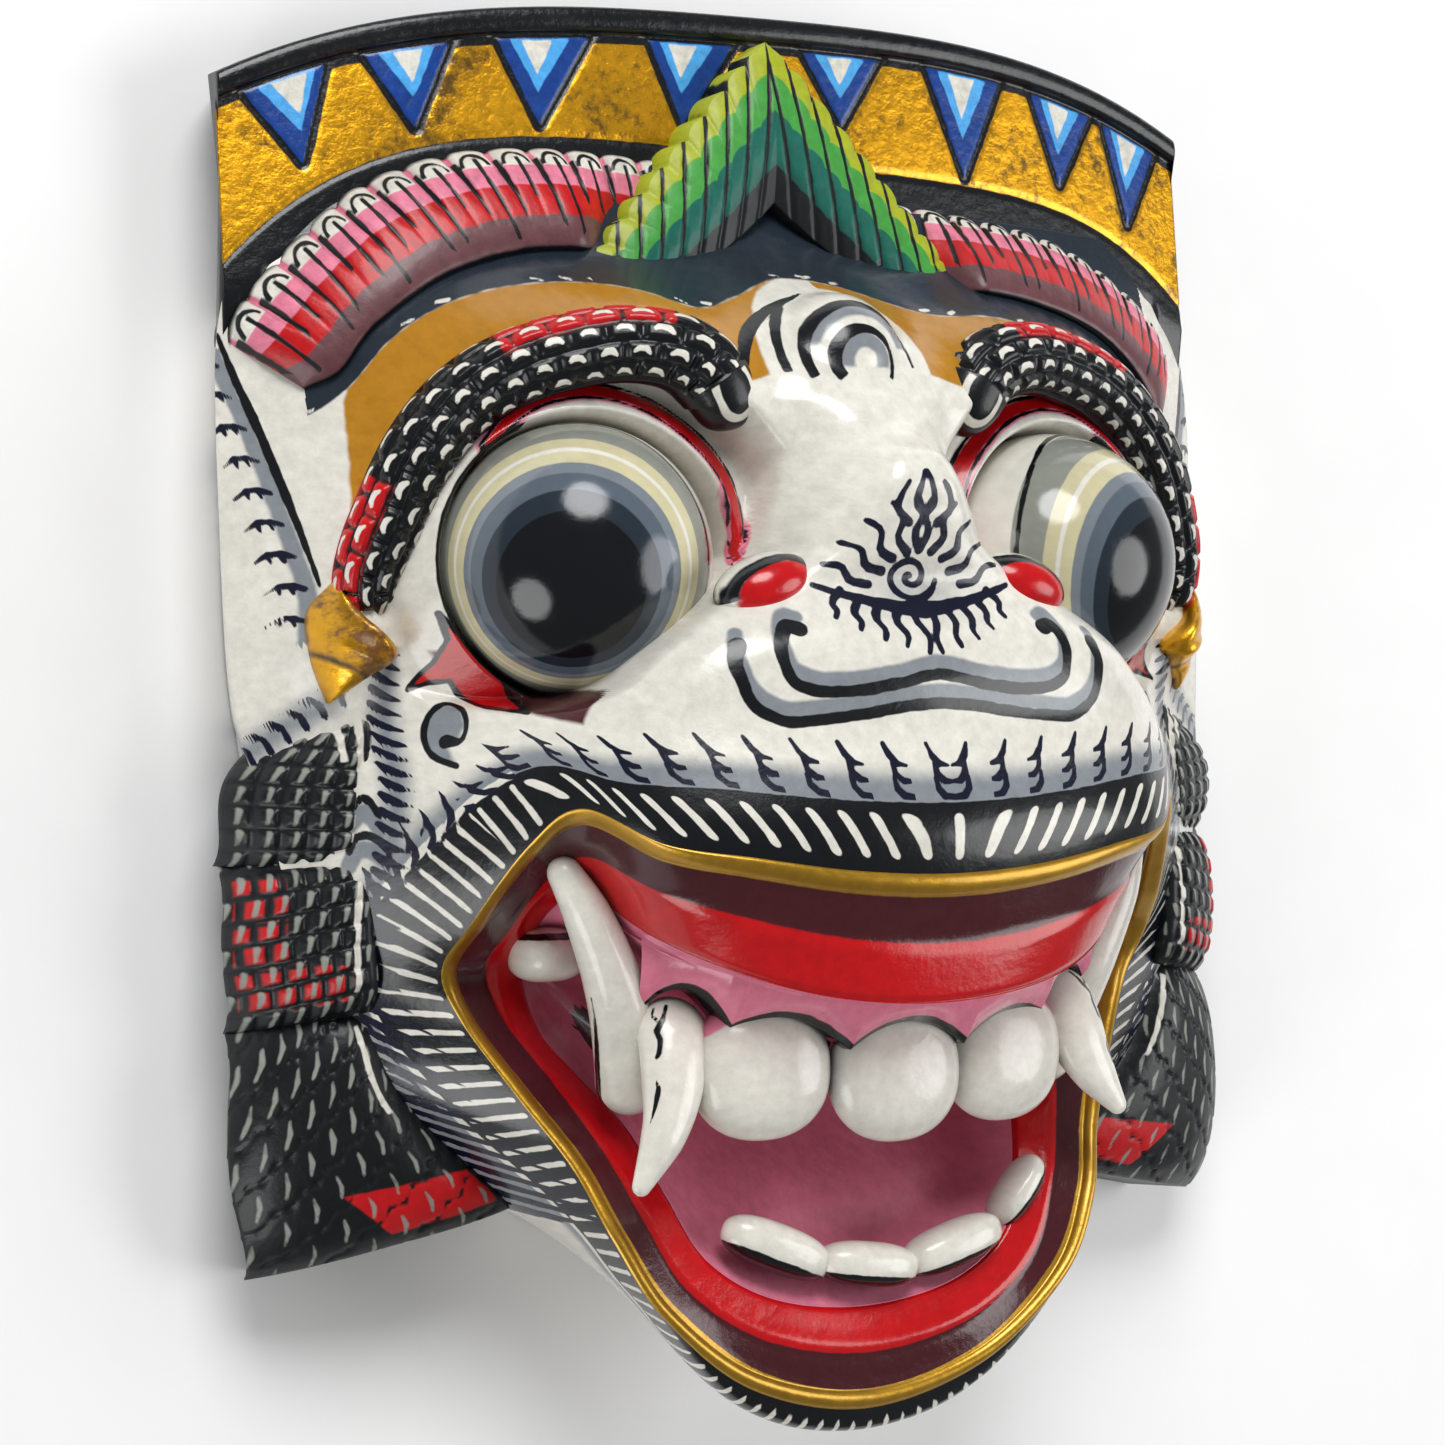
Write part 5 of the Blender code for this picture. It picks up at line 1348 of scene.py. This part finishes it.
def build_stage():
    """Pale floor, soft studio lights and the camera that sees the mask from its left."""
    mesh = bpy.data.meshes.new("floor")
    mesh.from_pydata([(-4, -4, -0.0004), (4, -4, -0.0004), (4, 4, -0.0004), (-4, 4, -0.0004)], [],
                     [(0, 1, 2, 3)])
    floor = bpy.data.objects.new("floor", mesh)
    bpy.context.scene.collection.objects.link(floor)
    # Dull white with a faint mottle, so that only the mask's shadow shows on it
    paper = bpy.data.materials.new("matt white seamless paper")
    paper.use_nodes = True
    tree = paper.node_tree
    fibre = add(tree, "ShaderNodeTexNoise", {},
                {"Vector": add(tree, "ShaderNodeTexCoord", {}, {})["Object"],
                                                 "Scale": 60.0, "Detail": 3.0})["Fac"]
    shade = add(tree, "ShaderNodeMapRange", {}, {0: fibre, 3: 0.86, 4: 0.9})[0]
    tree.links.new(shade, tree.nodes["Principled BSDF"].inputs["Base Color"])
    tree.nodes["Principled BSDF"].inputs["Roughness"].default_value = 0.9
    mesh.materials.append(paper)

    turn, lean, roll = (math.radians(angle) for angle in CAMERA_ANGLES)
    back = np.array((math.sin(turn) * math.cos(lean), math.sin(lean),
                     math.cos(turn) * math.cos(lean)))
    level = np.array((math.cos(turn), 0, -math.sin(turn)))
    rise = np.cross(back, level)
    right = math.cos(roll) * level + math.sin(roll) * rise
    up = -math.sin(roll) * level + math.cos(roll) * rise
    place = to_frame(back * CAMERA_DISTANCE + np.array((0, 0, 6.0)))
    data = bpy.data.cameras.new("camera")
    data.lens = CAMERA_LENS
    data.sensor_width = 36.0
    data.clip_start = 0.01
    camera = bpy.data.objects.new("camera", data)
    camera.matrix_world = Matrix([(*row, at) for row,
                                  at in zip(np.stack([right, up, back], 1), place)]
                                 + [(0, 0, 0, 1)])
    bpy.context.scene.collection.objects.link(camera)
    bpy.context.scene.camera = camera
    bpy.context.scene.view_settings.view_transform = "Standard"

    for name, at, wide, watts in (("key_softbox", (-0.25, 1.05, 0.95), 0.8, 17.0),
                                  ("fill_softbox", (0.95, -0.1, 0.9), 0.9, 9.0),
                                  ("low_softbox", (-1.15, -0.7, 0.45), 0.8, 7.5)):
        lamp = bpy.data.lights.new(name, "AREA")
        lamp.shape = "DISK"
        lamp.size = wide
        lamp.energy = watts
        light = bpy.data.objects.new(name, lamp)
        away = np.array(at) - np.array((0, 0, 0.04))
        away = away / np.linalg.norm(away)
        flat = np.cross((0, 0, 1.0), away)
        flat = flat / np.linalg.norm(flat)
        light.matrix_world = Matrix([(*row, spot) for row, spot in zip(
            np.stack([flat, np.cross(away, flat), away], 1), at)] + [(0, 0, 0, 1)])
        bpy.context.scene.collection.objects.link(light)
    world = bpy.data.worlds.new("soft studio sky")
    world.use_nodes = True
    world.node_tree.nodes["Background"].inputs[0].default_value = (1.0, 1.0, 1.0, 1.0)
    world.node_tree.nodes["Background"].inputs[1].default_value = 0.2
    bpy.context.scene.world = world


# Operators and panel

class MASK_OT_face(bpy.types.Operator):
    """Build the face: muzzle, forehead with eye sockets, and jaw"""
    bl_idname = "mask.face"
    bl_label = "Face"

    def execute(self, context):
        build_face(eye_place())
        return {"FINISHED"}


class MASK_OT_mouth(bpy.types.Operator):
    """Build the lining of the open mouth with its gold rim"""
    bl_idname = "mask.mouth"
    bl_label = "Mouth"

    def execute(self, context):
        build_mouth()
        build_upper_gum()
        return {"FINISHED"}


class MASK_OT_teeth(bpy.types.Operator):
    """Build the front teeth, fangs, tusks, molars and lower teeth"""
    bl_idname = "mask.teeth"
    bl_label = "Teeth"

    def execute(self, context):
        build_teeth()
        return {"FINISHED"}


class MASK_OT_eyes(bpy.types.Operator):
    """Build the two bulging eyeballs"""
    bl_idname = "mask.eyes"
    bl_label = "Eyes"

    def execute(self, context):
        build_eyes(eye_place())
        return {"FINISHED"}


class MASK_OT_nostrils(bpy.types.Operator):
    """Build the two flared nostrils"""
    bl_idname = "mask.nostrils"
    bl_label = "Nostrils"

    def execute(self, context):
        build_nostrils()
        return {"FINISHED"}


class MASK_OT_brows(bpy.types.Operator):
    """Build the rolled brows and the gold cuffs at their ends"""
    bl_idname = "mask.brows"
    bl_label = "Brows and cuffs"

    def execute(self, context):
        build_brows()
        return {"FINISHED"}


class MASK_OT_crown(bpy.types.Operator):
    """Build the crown panel with its rim and triangles"""
    bl_idname = "mask.crown"
    bl_label = "Crown"

    def execute(self, context):
        build_crown()
        return {"FINISHED"}


class MASK_OT_fringe(bpy.types.Operator):
    """Build the rolled fringe under the crown"""
    bl_idname = "mask.fringe"
    bl_label = "Fringe"

    def execute(self, context):
        build_fringe()
        return {"FINISHED"}


class MASK_OT_leaf(bpy.types.Operator):
    """Build the green leaf over the forehead"""
    bl_idname = "mask.leaf"
    bl_label = "Leaf"

    def execute(self, context):
        build_leaf()
        return {"FINISHED"}


class MASK_OT_locks(bpy.types.Operator):
    """Build the locks of hair below the ears"""
    bl_idname = "mask.locks"
    bl_label = "Locks of hair"

    def execute(self, context):
        build_locks()
        return {"FINISHED"}


class MASK_OT_back(bpy.types.Operator):
    """Build the hollowed back"""
    bl_idname = "mask.back"
    bl_label = "Back"

    def execute(self, context):
        build_back()
        return {"FINISHED"}


class MASK_OT_stage(bpy.types.Operator):
    """Build the floor, the lights and the camera"""
    bl_idname = "mask.stage"
    bl_label = "Stage"

    def execute(self, context):
        build_stage()
        return {"FINISHED"}


OPERATORS = (MASK_OT_face, MASK_OT_mouth, MASK_OT_teeth, MASK_OT_eyes, MASK_OT_nostrils,
             MASK_OT_brows,
             MASK_OT_crown, MASK_OT_fringe, MASK_OT_leaf, MASK_OT_locks, MASK_OT_back,
             MASK_OT_stage)


class MASK_PT_panel(bpy.types.Panel):
    """Sidebar panel with the mask's pieces, sizes and colours"""
    bl_idname = "MASK_PT_panel"
    bl_label = "Mask"
    bl_space_type = "VIEW_3D"
    bl_region_type = "UI"
    bl_category = "Mask"

    def draw(self, context):
        for operator in OPERATORS:
            self.layout.operator(operator.bl_idname)
        for key in SIZES:
            self.layout.prop(context.scene.mask_sizes, key)
        for key in COLOURS:
            self.layout.prop(context.scene.mask_colours, key)


CLASSES = (MaskSizes, MaskColours, *OPERATORS, MASK_PT_panel)


def register():
    """Make the properties, operators and panel known."""
    for cls in CLASSES:
        bpy.utils.register_class(cls)
    bpy.types.Scene.mask_sizes = bpy.props.PointerProperty(type=MaskSizes)
    bpy.types.Scene.mask_colours = bpy.props.PointerProperty(type=MaskColours)


def unregister():
    """Forget them again."""
    del bpy.types.Scene.mask_colours
    del bpy.types.Scene.mask_sizes
    for cls in reversed(CLASSES):
        bpy.utils.unregister_class(cls)


def main():
    """Build every piece in order."""
    register()
    for build in (bpy.ops.mask.face, bpy.ops.mask.mouth, bpy.ops.mask.teeth, bpy.ops.mask.eyes,
                  bpy.ops.mask.nostrils, bpy.ops.mask.brows, bpy.ops.mask.crown,
                  bpy.ops.mask.fringe,
                  bpy.ops.mask.leaf, bpy.ops.mask.locks, bpy.ops.mask.back, bpy.ops.mask.stage):
        build()


if __name__ == "__main__":
    main()
